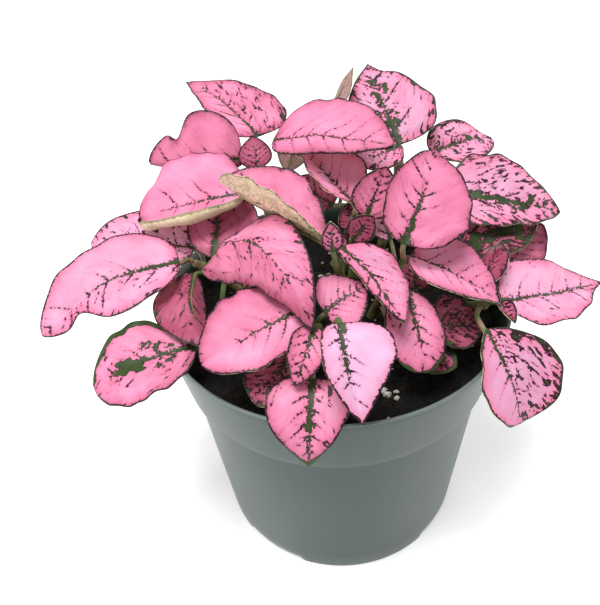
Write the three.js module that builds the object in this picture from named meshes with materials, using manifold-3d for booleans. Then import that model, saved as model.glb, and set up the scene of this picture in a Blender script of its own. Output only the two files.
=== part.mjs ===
// Potted polka dot plant: a thin plastic nursery pot, its peat, eleven stems and their leaves.
// Millimetres, +Z up. The origin is on the surface it stands on, under the middle of the whole
// plant. All sizes and places below are from the centre of the pot's foot instead, and each
// piece is moved by `potX` and `potY` at the end.
// The front of the plant faces -Y and its right-hand side is +X.
import * as THREE from "three";
import { ParametricGeometry } from "three/addons/geometries/ParametricGeometry.js";
import { mergeVertices } from "three/addons/utils/BufferGeometryUtils.js";
import Module from "manifold-3d";

const wasm = await Module();
wasm.setup();

// Where the pot stands
const potX = 1.3;
const potY = -6.4;

// Pot
const potHeight = 90;
const rimRadius = 54;
const rimLip = 0.9;
const bandBottomHeight = 68;
const bandBottomRadius = 50.4;
const bodyTopHeight = 66.8;
const bodyTopRadius = 48.6;
const footRadius = 43.6;
const wallThickness = 1.2;
const floorUnderside = 3;
const floorThickness = 1.4;
const potSides = 64;

// Notches in the foot ring and the drain holes above them, turned from the front towards the right
const notchCount = 4;
const firstNotchAngle = -34;
const notchWidth = 23;
const notchHeight = 2.3;
const notchDepth = 14;
const drainHoleRadius = 4.5;
const drainHoleDistance = 35;

// Peat
const seatGap = 0.3;
const soilEdgeHeight = 79;
const soilCrownHeight = 81;

// Stems
const stemFootRadius = 1.9;
const stemTopRadius = 1.1;
const stemRootDepth = 9;
const stemRings = 6;
const stemSides = 8;

// Leaves
const bladeThickness = 0.7;
const stalkRadius = 0.8;
const stalkStations = [0, 0.3, 0.65];
const bladeStations = [0.02, 0.1, 0.22, 0.36, 0.52, 0.68, 0.82, 0.93, 1];
const bladeColumns = [-1, -0.5, 0, 0.5, 1];
const baseSharpness = 0.52;
const tipSharpness = 0.8;
const waistReach = 0.1;
const plainHalf = [4, 0];
const ruffleTurn = 13;
const stalkPull = 0.35;
const curlSteps = 10;
const tipHalfWidth = 0.35;

const colours = {
  pot: 0x6f7b75,
  peat: 0x17110e,
  stem: 0x6d6a3c,
  pale: 0xf9b8dc,
  bright: 0xf893c2,
  rose: 0xe8719f,
  shaded: 0x9c4d63,
  green: 0xc98a9a,
};

const plant = new THREE.Group();

function addPiece(name, geometry, colour, roughness) {
  const material = new THREE.MeshStandardMaterial({ color: colour, roughness, metalness: 0 });
  const mesh = new THREE.Mesh(geometry.translate(potX, potY, 0), material);
  mesh.name = name;
  plant.add(mesh);
}

function solidOf(geometry) {
  const bare = geometry.clone();
  bare.deleteAttribute("normal");
  bare.deleteAttribute("uv");
  const merged = mergeVertices(bare, 1e-4);
  const index = merged.index.array;
  const kept = [];
  for (let i = 0; i < index.length; i += 3) {
    const [a, b, c] = [index[i], index[i + 1], index[i + 2]];
    if (a !== b && b !== c && c !== a) {
      kept.push(a, b, c);
    }
  }
  const mesh = new wasm.Mesh({
    numProp: 3,
    vertProperties: new Float32Array(merged.attributes.position.array),
    triVerts: new Uint32Array(kept),
  });
  mesh.merge();
  return new wasm.Manifold(mesh);
}

function geometryOf(solid) {
  const mesh = solid.getMesh();
  const geometry = new THREE.BufferGeometry();
  geometry.setAttribute("position", new THREE.BufferAttribute(mesh.vertProperties, 3));
  geometry.setIndex(new THREE.BufferAttribute(mesh.triVerts, 1));
  geometry.computeVertexNormals();
  return geometry;
}

// A closed skin through rings of points. Both end rings are drawn together to a point, so
// a ring that repeats its neighbour's place makes a flat end.
function loft(rings) {
  const around = rings[0].length;
  const centres = [rings[0], rings[rings.length - 1]].map((ring) =>
    ring.reduce((sum, point) => sum.add(point), new THREE.Vector3()).divideScalar(around));

  const skin = (u, v, target) => {
    const ring = Math.round(u * (rings.length + 1));
    const spoke = Math.round((1 - v) * around) % around;
    if (ring === 0) {
      target.copy(centres[0]);
    } else if (ring === rings.length + 1) {
      target.copy(centres[1]);
    } else {
      target.copy(rings[ring - 1][spoke]);
    }
  };
  return new ParametricGeometry(skin, rings.length + 1, around);
}

function makePot() {
  const inner = (radius) => radius - wallThickness;
  const floorTop = floorUnderside + floorThickness;
  const profile = [
    [0, floorUnderside],
    [inner(footRadius) - 0.4, floorUnderside],
    [inner(footRadius) - 0.4, 0],
    [footRadius, 0],
    [bodyTopRadius, bodyTopHeight],
    [bandBottomRadius, bandBottomHeight],
    [rimRadius, potHeight - 0.4],
    [rimRadius - 0.4, potHeight],
    [rimRadius - rimLip, potHeight],
    [inner(rimRadius) - 0.9, potHeight - 2.5],
    [inner(bandBottomRadius), bandBottomHeight + 0.8],
    [inner(bodyTopRadius), bodyTopHeight + 0.4],
    [inner(footRadius) + 0.3, floorTop],
    [0, floorTop],
  ];
  const shell = new THREE.LatheGeometry(profile.map(([r, z]) => new THREE.Vector2(r, z)), potSides);
  shell.rotateX(Math.PI / 2);
  let pot = solidOf(shell);
  for (let i = 0; i < notchCount; i += 1) {
    const angle = THREE.MathUtils.degToRad(firstNotchAngle + (i * 360) / notchCount - 90);
    const notch = new THREE.BoxGeometry(notchDepth, notchWidth, notchHeight * 2);
    notch.translate(footRadius, 0, 0);
    notch.rotateZ(angle);
    const hole = new THREE.CylinderGeometry(drainHoleRadius, drainHoleRadius, 12, 16);
    hole.rotateX(Math.PI / 2);
    hole.translate(drainHoleDistance, 0, floorUnderside);
    hole.rotateZ(angle);
    pot = pot.subtract(solidOf(notch)).subtract(solidOf(hole));
  }
  return pot;
}

// Each stem climbs through these points. The first lies on the peat.
const stems = {
  front: [[-6, -14, 80], [-7, -23, 92], [-4, -31, 103]],
  middle: [[2, -6, 80], [3, -13, 100], [1, -20, 116]],
  left: [[-22, 2, 80], [-33, 4, 92], [-43, 3, 101]],
  innerLeft: [[-16, -4, 80], [-24, -5, 92], [-30, -3, 103]],
  backLeft: [[-12, 14, 80], [-20, 26, 100], [-25, 32, 116]],
  centre: [[6, 8, 80], [7, 5, 100], [7, 0, 117]],
  right: [[12, -2, 80], [16, -8, 96], [19, -14, 110]],
  farRight: [[24, -2, 80], [36, -10, 90], [44, -16, 96]],
  rightBack: [[24, 10, 80], [33, 12, 95], [38, 12, 108]],
  backRight: [[14, 20, 80], [20, 26, 102], [23, 29, 122]],
  back: [[3, 24, 80], [7, 30, 106], [-5, 24, 131]],
};

function stemCurve(points) {
  const [foot, knee, top] = points.map((point) => new THREE.Vector3(...point));
  const root = foot.clone().lerp(knee, -0.35);
  root.z = foot.z - stemRootDepth;
  return new THREE.CatmullRomCurve3([root, foot, knee, top]);
}

function stemRadiusAt(t) {
  return THREE.MathUtils.lerp(stemFootRadius, stemTopRadius, t);
}

function makeStem(curve, clearance) {
  const rings = [];
  for (let i = 0; i <= stemRings; i += 1) {
    const t = i / stemRings;
    const along = curve.getTangentAt(t);
    const sideways = new THREE.Vector3(0, 1, 0).cross(along).normalize();
    const forwards = along.clone().cross(sideways);
    const end = i === 0 ? -clearance : 0;
    const centre = curve.getPointAt(t).addScaledVector(along, end);
    const radius = stemRadiusAt(t) + clearance;
    const ring = [];
    for (let k = 0; k < stemSides; k += 1) {
      const angle = (k / stemSides) * Math.PI * 2;
      ring.push(centre.clone()
        .addScaledVector(sideways, radius * Math.cos(angle))
        .addScaledVector(forwards, radius * Math.sin(angle)));
    }
    rings.push(ring);
  }
  return loft(rings);
}

function makePeat(curves) {
  const inner = (height) => {
    const rise = THREE.MathUtils.clamp((height - floorUnderside) / (bodyTopHeight - floorUnderside), 0, 1);
    return THREE.MathUtils.lerp(footRadius, bodyTopRadius, rise) - wallThickness - 0.7;
  };
  const bottom = floorUnderside + floorThickness + seatGap;
  const profile = [
    [0, bottom],
    [inner(bottom) - 0.5, bottom],
    [inner(bodyTopHeight), bodyTopHeight],
    [bandBottomRadius - wallThickness - 0.3, bandBottomHeight + 3],
    [bandBottomRadius - wallThickness + 0.7, soilEdgeHeight],
    [bandBottomRadius - 16, soilEdgeHeight + 0.8],
    [18, soilCrownHeight - 0.4],
    [0, soilCrownHeight],
  ];
  const plug = new THREE.LatheGeometry(profile.map(([r, z]) => new THREE.Vector2(r, z)), potSides);
  plug.rotateX(Math.PI / 2);
  let peat = solidOf(plug);
  for (const curve of curves) {
    peat = peat.subtract(solidOf(makeStem(curve, seatGap)));
  }
  return peat;
}

// Each leaf hangs on its stem at `at` (0 root, 1 top). `base` and `tip` are the ends of its
// midrib, `face` the way its upper side looks and `wide` its width. `bow` lifts and `sway`
// (to its right, seen from the base) bends the midrib, and `twist` turns the blade about it
// by that many degrees from base to tip. `left` and `right` give each half's fold at the
// midrib and its further curl at the margin, in degrees, and `wave` ruffles the margins.
// `narrow` and `blunt` shape the outline, `uneven` makes the right half that much wider than
// the left, and `waist` notches one half (-1 left, 1 right) at a place along it, by a depth.
const leaves = {
  // front stem
  leaf_front_1: {
    stem: "front", at: 0.9, base: [-8, -30, 108], tip: [-34, -42, 101],
    face: [0, -0.4, 1], wide: 24, bow: 2, blunt: 0.62, right: [-3, 0], uneven: 0.15,
    look: "bright",
  },
  leaf_front_2: {
    stem: "front", at: 0.85, base: [-4.8, -35.6, 107], tip: [-10.2, -47.8, 98.5],
    face: [0.1, -0.6, 0.8], wide: 10, bow: 2.5, look: "rose",
  },
  leaf_front_3: {
    stem: "front", at: 0.7, base: [-12, -34, 95], tip: [-20, -49, 93],
    face: [0, -0.4, 0.9], wide: 17, blunt: 0.65, look: "shaded",
  },
  leaf_front_4: {
    stem: "front", at: 0.75, base: [-6, -43, 96], tip: [-7.7, -57.5, 79],
    face: [0, -0.6, 0.8], wide: 21, bow: 5, narrow: 0.38, blunt: 1, uneven: 0.1, look: "bright",
  },
  leaf_front_5: {
    stem: "front", at: 0.95, base: [1.5, -41, 113], tip: [5.7, -59, 97],
    face: [0.1, -0.6, 0.8], wide: 18, bow: 2, sway: 1, narrow: 0.38, blunt: 0.95, uneven: -0.37,
    look: "pale",
  },
  leaf_front_6: {
    stem: "front", at: 0.9, base: [-2.5, -30.5, 107], tip: [9, -25, 111.5],
    face: [0, -0.4, 0.9], wide: 17, bow: 1, narrow: 0.4, look: "rose",
  },
  // middle stem
  leaf_middle_1: {
    stem: "middle", at: 1, base: [-1, -17.5, 120], tip: [-31, 3.5, 128],
    face: [0, 0, 1], wide: 27, narrow: 0.95, left: [60, 10], right: [27, 0], look: "bright",
  },
  leaf_middle_2: {
    stem: "middle", at: 0.85, base: [2.5, -17, 118.5], tip: [17.5, -35, 107],
    face: [0.3, -0.4, 0.9], wide: 17, bow: 2, narrow: 0.35, blunt: 0.65, left: [-17, 0],
    uneven: -0.6, look: "rose",
  },
  leaf_middle_3: {
    stem: "middle", at: 0.98, base: [0.5, -24.5, 122], tip: [0, -23, 130],
    face: [0, -0.9, 0.3], wide: 5.5, look: "rose",
  },
  leaf_middle_4: {
    stem: "middle", at: 0.7, base: [0, -22.5, 103.5], tip: [-1, -19.5, 111.5],
    face: [0, -0.8, 0.6], wide: 11, look: "shaded",
  },
  // left stem
  leaf_left_1: {
    stem: "left", at: 1, base: [-46, -1, 104], tip: [-85, -20.5, 93],
    face: [-0.1, -0.3, 1], wide: 26, bow: 4, sway: 3, narrow: 0.38, blunt: 0.65, uneven: 0.08,
    twist: 22, waist: [-1, 0.74, 0.6], look: "bright",
  },
  leaf_left_2: {
    stem: "left", at: 0.9, base: [-44, 12, 100], tip: [-80, 18, 100],
    face: [0, -0.4, 1], wide: 26, bow: 2, blunt: 0.65, look: "green",
  },
  leaf_left_3: {
    stem: "left", at: 0.85, base: [-42.5, -1, 100], tip: [-35.5, -28.5, 94],
    face: [-0.3, -0.6, 0.8], wide: 18, bow: 2, sway: 1.5, left: [-75, 0], right: [15, 0],
    uneven: 0.3, blunt: 0.95, look: "rose",
  },
  leaf_left_4: {
    stem: "left", at: 0.7, base: [-39.5, -25, 91], tip: [-69, -33, 85],
    face: [-0.1, -0.25, 1], wide: 27, bow: 3, narrow: 0.6, blunt: 0.55, look: "green",
  },
  // inner left stem
  leaf_inner_left_1: {
    stem: "innerLeft", at: 1, base: [-38, -7.5, 106], tip: [-5.5, -38.5, 108.5],
    face: [0, -0.35, 1], wide: 25, bow: 14, sway: -7, left: [-14, 28], right: [-45, -30],
    look: "pale",
  },
  leaf_inner_left_2: {
    stem: "innerLeft", at: 0.93, base: [-36.5, 3.5, 102], tip: [-35, 24, 114],
    face: [0, -0.6, 0.8], wide: 23.5, blunt: 0.6, uneven: 0.18, look: "rose",
  },
  // back left stem
  leaf_back_left_1: {
    stem: "backLeft", at: 1, base: [-24, 45.5, 122], tip: [-49.7, 67, 134],
    face: [0, 0, 1], wide: 29, bow: 1, sway: 2.5, narrow: 0.36, uneven: 0.22, blunt: 0.9,
    look: "bright",
  },
  leaf_back_left_2: {
    stem: "backLeft", at: 0.92, base: [-28.3, 35, 119], tip: [-61.5, 42.5, 115.5],
    face: [0, -0.8, 0.6], wide: 21.6, bow: 1, wave: 1, left: [-60, 0], narrow: 0.4, uneven: 0.5,
    blunt: 0.65, waist: [1, 0.7, 0.4], look: "bright",
  },
  leaf_back_left_3: {
    stem: "backLeft", at: 0.9, base: [-25.5, 14.5, 118], tip: [-61.5, 18, 109],
    face: [-0.1, -0.45, 1], wide: 37.5, bow: 1, left: [-25, 190], right: [2, -30], uneven: 0.26,
    blunt: 0.4, look: "pale",
  },
  leaf_back_left_4: {
    stem: "backLeft", at: 0.93, base: [-23.3, 30, 118], tip: [-24, 35, 127],
    face: [0, -0.9, 0.4], wide: 11, look: "rose",
  },
  // centre stem
  leaf_centre_1: {
    stem: "centre", at: 1, base: [7, 5.5, 118], tip: [-9, 23.5, 128],
    face: [0.1, -0.4, 1], wide: 19, left: [30, 20], right: [20, 0], uneven: 0.15, look: "rose",
  },
  leaf_centre_2: {
    stem: "centre", at: 0.97, base: [10, -4, 119], tip: [16, 2, 131],
    face: [0, -0.9, 0.4], wide: 13, look: "rose",
  },
  leaf_centre_3: {
    stem: "centre", at: 0.9, base: [6, -6, 113], tip: [12, -5, 120],
    face: [0, -0.8, 0.6], wide: 8, look: "shaded",
  },
  leaf_centre_4: {
    stem: "centre", at: 0.88, base: [8, 4, 111], tip: [4.5, 6.5, 117],
    face: [0, -0.6, 0.8], wide: 10, look: "shaded",
  },
  leaf_centre_5: {
    stem: "centre", at: 0.6, base: [2.5, 0, 105], tip: [1, 1.5, 110],
    face: [0, -0.6, 0.8], wide: 7, look: "green",
  },
  // right stem
  leaf_right_1: {
    stem: "right", at: 1, base: [19, -18, 119], tip: [29.5, 4.5, 134],
    face: [0.1, -0.75, 0.65], wide: 23.5, bow: 2, narrow: 0.45, blunt: 0.7, uneven: 0.2,
    look: "bright",
  },
  leaf_right_2: {
    stem: "right", at: 0.8, base: [21.5, -12, 111], tip: [45.5, -21.5, 101],
    face: [0, -0.3, 1], wide: 21, bow: 2, right: [25, 0], blunt: 0.9, look: "bright",
  },
  leaf_right_3: {
    stem: "right", at: 0.8, base: [20, -20, 105], tip: [24, -38, 91.5],
    face: [0.1, -0.6, 0.8], wide: 16, bow: 1, blunt: 0.5, uneven: 0.12, look: "rose",
  },
  leaf_right_4: {
    stem: "right", at: 0.9, base: [17, -4, 111], tip: [13, 6, 121],
    face: [0, -0.8, 0.6], wide: 10, look: "rose",
  },
  leaf_right_5: {
    stem: "right", at: 0.6, base: [24, -11, 98], tip: [25, -2, 104],
    face: [0, -0.7, 0.7], wide: 11, look: "shaded",
  },
  leaf_right_6: {
    stem: "right", at: 0.45, base: [22, -24, 88], tip: [33, -32, 87],
    face: [0, -0.3, 1], wide: 12, blunt: 0.6, look: "shaded",
  },
  // far right stem
  leaf_far_right_1: {
    stem: "farRight", at: 0.97, base: [47.5, -16, 97], tip: [83.5, 2.5, 87],
    face: [0, -0.4, 1], wide: 23.5, bow: 1, sway: 1, blunt: 1, uneven: -0.12,
    waist: [1, 0.88, 0.35], look: "bright",
  },
  leaf_far_right_2: {
    stem: "farRight", at: 0.95, base: [40, -30, 99], tip: [49, -43.5, 76.6],
    face: [0.3, -0.6, 0.75], wide: 24, bow: 3, narrow: 0.7, blunt: 0.5, left: [0, 40],
    right: [0, 20], uneven: -0.25, look: "green",
  },
  leaf_far_right_3: {
    stem: "farRight", at: 1, base: [46.5, -18, 98], tip: [48.5, -27, 98],
    face: [0, -0.3, 1], wide: 6, left: [40, 0], right: [40, 0], look: "rose",
  },
  leaf_far_right_4: {
    stem: "farRight", at: 0.5, base: [28, -22, 94], tip: [42.5, -19.5, 91],
    face: [0, -0.4, 1], wide: 18, uneven: -0.1, look: "shaded",
  },
  leaf_far_right_5: {
    stem: "farRight", at: 0.8, base: [41, -14, 99], tip: [51, 1, 104],
    face: [0, -0.5, 0.9], wide: 12, left: [50, 0], right: [50, 0], look: "shaded",
  },
  // right back stem
  leaf_right_back_1: {
    stem: "rightBack", at: 1, base: [36, 15.5, 113.5], tip: [71, 14.5, 106],
    face: [0.1, -0.5, 1], wide: 26, bow: 2, narrow: 0.42, uneven: -0.22, blunt: 0.75,
    look: "green",
  },
  leaf_right_back_2: {
    stem: "rightBack", at: 0.9, base: [39.5, 2.5, 103], tip: [63.5, 11, 104],
    face: [0, -0.4, 1], wide: 18, uneven: -0.15, look: "green",
  },
  leaf_right_back_3: {
    stem: "rightBack", at: 0.75, base: [53.5, 4.5, 93], tip: [68, 17.5, 100],
    face: [0, -0.7, 0.7], wide: 16, look: "shaded",
  },
  // back right stem
  leaf_back_right_1: {
    stem: "backRight", at: 1, base: [22, 29.5, 124], tip: [14.5, 62.5, 138],
    face: [0, -0.5, 1], wide: 29, bow: 2, narrow: 0.42, blunt: 1, uneven: 0.08, look: "green",
  },
  leaf_back_right_2: {
    stem: "backRight", at: 0.9, base: [33.5, 35, 118], tip: [56, 48.5, 116],
    face: [0, -0.4, 1], wide: 20, bow: 2, blunt: 0.7, look: "green",
  },
  leaf_back_right_3: {
    stem: "backRight", at: 0.93, base: [22.5, 27.5, 125], tip: [8.5, 20.5, 122.5],
    face: [0, -0.5, 0.9], wide: 16.5, uneven: 0.2, look: "rose",
  },
  leaf_back_right_4: {
    stem: "backRight", at: 0.78, base: [19, 14, 110], tip: [18, 19, 115],
    face: [0, 0.8, 0.6], wide: 8, look: "shaded",
  },
  // back stem
  leaf_back_1: {
    stem: "back", at: 1, base: [-16.5, 21.5, 131.5], tip: [18, 5, 135.5],
    face: [0, -0.25, 1], wide: 22.5, bow: 2.5, right: [-15, -30], narrow: 0.32, blunt: 0.65,
    uneven: -0.45, look: "bright",
  },
  leaf_back_2: {
    stem: "back", at: 0.98, base: [0.5, 37, 130], tip: [9, 49, 142],
    face: [1, 0.3, -0.4], wide: 11, look: "rose",
  },
  leaf_back_3: {
    stem: "back", at: 0.85, base: [-8, 36, 130], tip: [-14, 32, 115],
    face: [0.3, 0.9, 0.4], wide: 12, look: "shaded",
  },
  leaf_back_4: {
    stem: "back", at: 0.66, base: [1, 18, 110], tip: [-12, 30, 113.5],
    face: [0, -0.6, 0.8], wide: 14, look: "shaded",
  },
};

// Half width along the midrib. Under the usual sharpness `narrow` rounds the base and `blunt`
// the tip; over it they draw that end out to a point.
function halfWidth(leaf, s, side) {
  const narrow = leaf.narrow ?? baseSharpness;
  const blunt = leaf.blunt ?? tipSharpness;
  const widest = narrow / (narrow + blunt);
  const peak = widest ** narrow * (1 - widest) ** blunt;
  const [half, place, depth] = leaf.waist ?? [1, 0.5, 0];
  const drawnIn = half === side ? 1 - depth * Math.exp(-(((s - place) / waistReach) ** 2)) : 1;
  const share = 1 + (leaf.uneven ?? 0) * side;
  const fullness = (s ** narrow * (1 - s) ** blunt) / peak;
  return Math.max(tipHalfWidth, (leaf.wide / 2) * share * drawnIn * fullness);
}

// Place of the midrib and the blade's own directions at s (0 base, 1 tip)
function midrib(leaf, s) {
  const base = new THREE.Vector3(...leaf.base);
  const chord = new THREE.Vector3(...leaf.tip).sub(base);
  const right = chord.clone().cross(new THREE.Vector3(...leaf.face)).normalize();
  const up = right.clone().cross(chord).normalize();
  const bow = leaf.bow ?? 0;
  const sway = leaf.sway ?? 0;
  const hump = 4 * s * (1 - s);
  const slope = 4 * (1 - 2 * s);
  const bend = up.clone().multiplyScalar(bow).addScaledVector(right, sway);
  const along = chord.clone().addScaledVector(bend, slope).normalize();
  const across = right.clone().addScaledVector(along, -right.dot(along)).normalize();
  across.applyAxisAngle(along, -THREE.MathUtils.degToRad(leaf.twist ?? 0) * s);
  return {
    point: base.addScaledVector(chord, s).addScaledVector(bend, hump),
    along,
    across,
    upper: across.clone().cross(along),
  };
}

// Middle of the blade at s along and t across (-1 left margin, 1 right margin). The half
// blade leaves the midrib at its fold and turns more and more towards its margin.
function bladePoint(leaf, s, t) {
  const { point, across, upper } = midrib(leaf, s);
  const [fold, curl] = ((t < 0 ? leaf.left : leaf.right) ?? plainHalf).map(THREE.MathUtils.degToRad);
  const reach = Math.abs(t);
  const step = (reach * halfWidth(leaf, s, Math.sign(t))) / curlSteps;
  let out = 0;
  let lift = 0;
  for (let i = 0; i < curlSteps; i += 1) {
    const part = (reach * (i + 0.5)) / curlSteps;
    out += step * Math.cos(fold + curl * part * part);
    lift += step * Math.sin(fold + curl * part * part);
  }
  const ruffle = (leaf.wave ?? 0) * reach * reach * Math.sin(s * ruffleTurn + t);
  const angle = fold + curl * reach * reach;
  const outwards = across.clone().multiplyScalar(Math.sign(t));
  return {
    middle: point.addScaledVector(outwards, out).addScaledVector(upper, lift + ruffle),
    normal: upper.clone().multiplyScalar(Math.cos(angle)).addScaledVector(outwards, -Math.sin(angle)),
  };
}

function bladeRing(leaf, s) {
  const top = [];
  const under = [];
  for (const t of bladeColumns) {
    const { middle, normal } = bladePoint(leaf, s, t);
    top.push(middle.clone().addScaledVector(normal, bladeThickness / 2));
    under.unshift(middle.clone().addScaledVector(normal, -bladeThickness / 2));
  }
  return [...top, ...under];
}

// The stalk leaves its stem square and runs into the base of the blade
function stalkCurve(leaf, curve) {
  const base = midrib(leaf, bladeStations[0]);
  const node = curve.getPointAt(leaf.at);
  const out = base.point.clone().sub(node);
  const stemAlong = curve.getTangentAt(leaf.at);
  if (leaf.at < 1) {
    out.addScaledVector(stemAlong, -out.dot(stemAlong));
  }
  out.normalize();
  const clear = leaf.at < 1 ? stemRadiusAt(leaf.at) + seatGap : seatGap + 0.2;
  const start = node.clone().addScaledVector(leaf.at < 1 ? out : stemAlong, clear);
  const reach = start.distanceTo(base.point) * stalkPull;
  return new THREE.CubicBezierCurve3(
    start,
    start.clone().addScaledVector(leaf.at < 1 ? out : stemAlong, reach),
    base.point.clone().addScaledVector(base.along, -reach),
    base.point,
  );
}

function stalkRing(leaf, curve, t) {
  const centre = curve.getPoint(t);
  const along = curve.getTangent(t);
  const blade = midrib(leaf, 0);
  const across = blade.across.clone().addScaledVector(along, -blade.across.dot(along)).normalize();
  const upper = across.clone().cross(along);
  const columns = bladeColumns.length;
  const ring = [];
  for (let k = 0; k < columns * 2; k += 1) {
    const angle = Math.PI - ((k + 0.5) / columns) * Math.PI;
    ring.push(centre.clone()
      .addScaledVector(across, stalkRadius * Math.cos(angle))
      .addScaledVector(upper, stalkRadius * Math.sin(angle)));
  }
  return ring;
}

function makeLeaf(leaf, curve) {
  const stalk = stalkCurve(leaf, curve);
  return loft([
    ...stalkStations.map((t) => stalkRing(leaf, stalk, t)),
    ...bladeStations.map((s) => bladeRing(leaf, s)),
  ]);
}

const curves = Object.fromEntries(Object.entries(stems).map(([name, points]) => [name, stemCurve(points)]));

addPiece("pot", geometryOf(makePot()), colours.pot, 0.5);
addPiece("peat", geometryOf(makePeat(Object.values(curves))), colours.peat, 0.95);
for (const [name, curve] of Object.entries(curves)) {
  const words = name.replace(/[A-Z]/g, (letter) => `_${letter.toLowerCase()}`);
  addPiece(`stem_${words}`, geometryOf(solidOf(makeStem(curve, 0))), colours.stem, 0.6);
}
for (const [name, leaf] of Object.entries(leaves)) {
  addPiece(name, geometryOf(solidOf(makeLeaf(leaf, curves[leaf.stem]))), colours[leaf.look], 0.55);
}

export default plant;
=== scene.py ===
import math
from functools import partial
from types import SimpleNamespace

import bmesh
import bpy
import numpy as np
from mathutils import Matrix, Vector, noise


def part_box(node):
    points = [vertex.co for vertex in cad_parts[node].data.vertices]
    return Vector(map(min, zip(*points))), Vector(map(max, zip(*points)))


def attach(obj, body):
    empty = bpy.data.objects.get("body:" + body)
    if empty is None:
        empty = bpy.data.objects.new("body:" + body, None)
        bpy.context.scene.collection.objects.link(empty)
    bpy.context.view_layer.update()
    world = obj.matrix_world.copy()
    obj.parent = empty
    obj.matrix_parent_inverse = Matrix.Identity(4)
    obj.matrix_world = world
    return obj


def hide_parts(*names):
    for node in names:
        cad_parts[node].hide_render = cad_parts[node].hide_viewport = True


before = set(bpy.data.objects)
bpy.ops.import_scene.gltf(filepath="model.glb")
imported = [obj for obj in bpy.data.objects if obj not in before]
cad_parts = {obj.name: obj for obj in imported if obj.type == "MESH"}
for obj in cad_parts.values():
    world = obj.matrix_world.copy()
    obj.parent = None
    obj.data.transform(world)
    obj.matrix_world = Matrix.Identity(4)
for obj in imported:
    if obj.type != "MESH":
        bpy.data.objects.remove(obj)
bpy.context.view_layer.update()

mm = 0.001
potLow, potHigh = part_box("pot")
standingPoint = np.array([(potLow.x + potHigh.x) / 2, (potLow.y + potHigh.y) / 2, potLow.z])
rimHeight = (potHigh.z - potLow.z) / mm


# small helpers

def toLinear(code):
    channels = [int(code[i:i + 2], 16) / 255 for i in (1, 3, 5)]
    bright = [c / 12.92 if c <= 0.04045 else ((c + 0.055) / 1.055) ** 2.4 for c in channels]
    return (*bright, 1.0)


def addNode(tree, kind, inputs=None, out=0, **settings):
    # one shader node, set up and linked; gives back the output asked for
    node = tree.nodes.new(f"ShaderNode{kind}")
    for name, value in settings.items():
        setattr(node, name, value)
    for socket, value in (inputs or {}).items():
        if isinstance(value, bpy.types.NodeSocket):
            tree.links.new(value, node.inputs[socket])
        else:
            node.inputs[socket].default_value = toLinear(value) if isinstance(value, str) else value
    return node.outputs[out] if node.outputs else None


mixColours = dict(out=2, data_type="RGBA")


def newMaterial(name):
    material = bpy.data.materials.new(name)
    material.use_nodes = True
    material.node_tree.nodes.clear()
    return material, partial(addNode, material.node_tree)


def ease(low, high, value):
    part = np.clip((value - low) / (high - low), 0, 1)
    return part * part * (3 - 2 * part)


def unit(vectors):
    return vectors / np.linalg.norm(vectors, axis=-1, keepdims=True)


def ripples(x, y, rng, count, shortest, longest):
    # smooth seeded unevenness, about -1 to 1, with waves of the given lengths in mm
    total = np.zeros(np.broadcast(x, y).shape)
    for _ in range(count):
        length = rng.uniform(shortest, longest)
        heading, phase = rng.uniform(0, 2 * math.pi, 2)
        total += np.sin((x * math.cos(heading) + y * math.sin(heading)) * 2 * math.pi / length + phase)
    return total / math.sqrt(count)


def addObject(name, data):
    added = bpy.data.objects.new(name, data)
    bpy.context.scene.collection.objects.link(added)
    return added


def addPiece(name, points, faces, materials, replaced=None, faceMaterials=None, layers=None):
    # points are in mm from the centre of the pot's foot
    mesh = bpy.data.meshes.new(name)
    mesh.from_pydata((standingPoint + np.asarray(points) * mm).tolist(), [], faces)
    for material in materials:
        mesh.materials.append(material)
    if faceMaterials is not None:
        mesh.polygons.foreach_set("material_index", faceMaterials)
    mesh.polygons.foreach_set("use_smooth", [True] * len(mesh.polygons))
    for layer, values in (layers or {}).items():
        kind = "FLOAT_VECTOR" if values.ndim == 2 else "FLOAT"
        field = "vector" if values.ndim == 2 else "value"
        attribute = mesh.attributes.new(layer, kind, "POINT")
        attribute.data.foreach_set(field, values.astype(np.float32).ravel())
    mesh.validate()
    mesh.update()
    piece = addObject(name, mesh)
    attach(piece, "root")
    if replaced:
        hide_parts(replaced)
    return piece


def ringFaces(rings, around, first=0):
    # quads between rings of points, closed around
    faces = []
    for ring in range(rings - 1):
        for spoke in range(around):
            a = first + ring * around + spoke
            b = first + ring * around + (spoke + 1) % around
            faces.append((a, b, b + around, a + around))
    return faces


def tube(path, radii, sides, startAcross, flatness=1.0):
    # a closed round stalk along path, its frame carried along without twist
    path = np.asarray(path, float)
    along = unit(np.gradient(path, axis=0))
    across = np.asarray(startAcross, float)
    angles = np.arange(sides) / sides * 2 * math.pi
    points = []
    for place, direction, radius in zip(path, along, radii):
        across = across - direction * across.dot(direction)
        across = across / np.linalg.norm(across)
        upper = np.cross(across, direction)
        for angle in angles:
            points.append(place + radius * (across * math.cos(angle) + upper * math.sin(angle) * flatness))
    count = len(path)
    faces = ringFaces(count, sides)
    faces.append(tuple(range(sides))[::-1])
    faces.append(tuple(range((count - 1) * sides, count * sides)))
    return np.array(points), faces


# camera and light

viewing = dict(
    back=150.4, up=120.4,        # mm from the middle of the rim, towards the front and upwards
    yaw=-4.05, pitch=39.62, roll=-4.60,
    lens=36.66, sensor=36.0,
)


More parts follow.
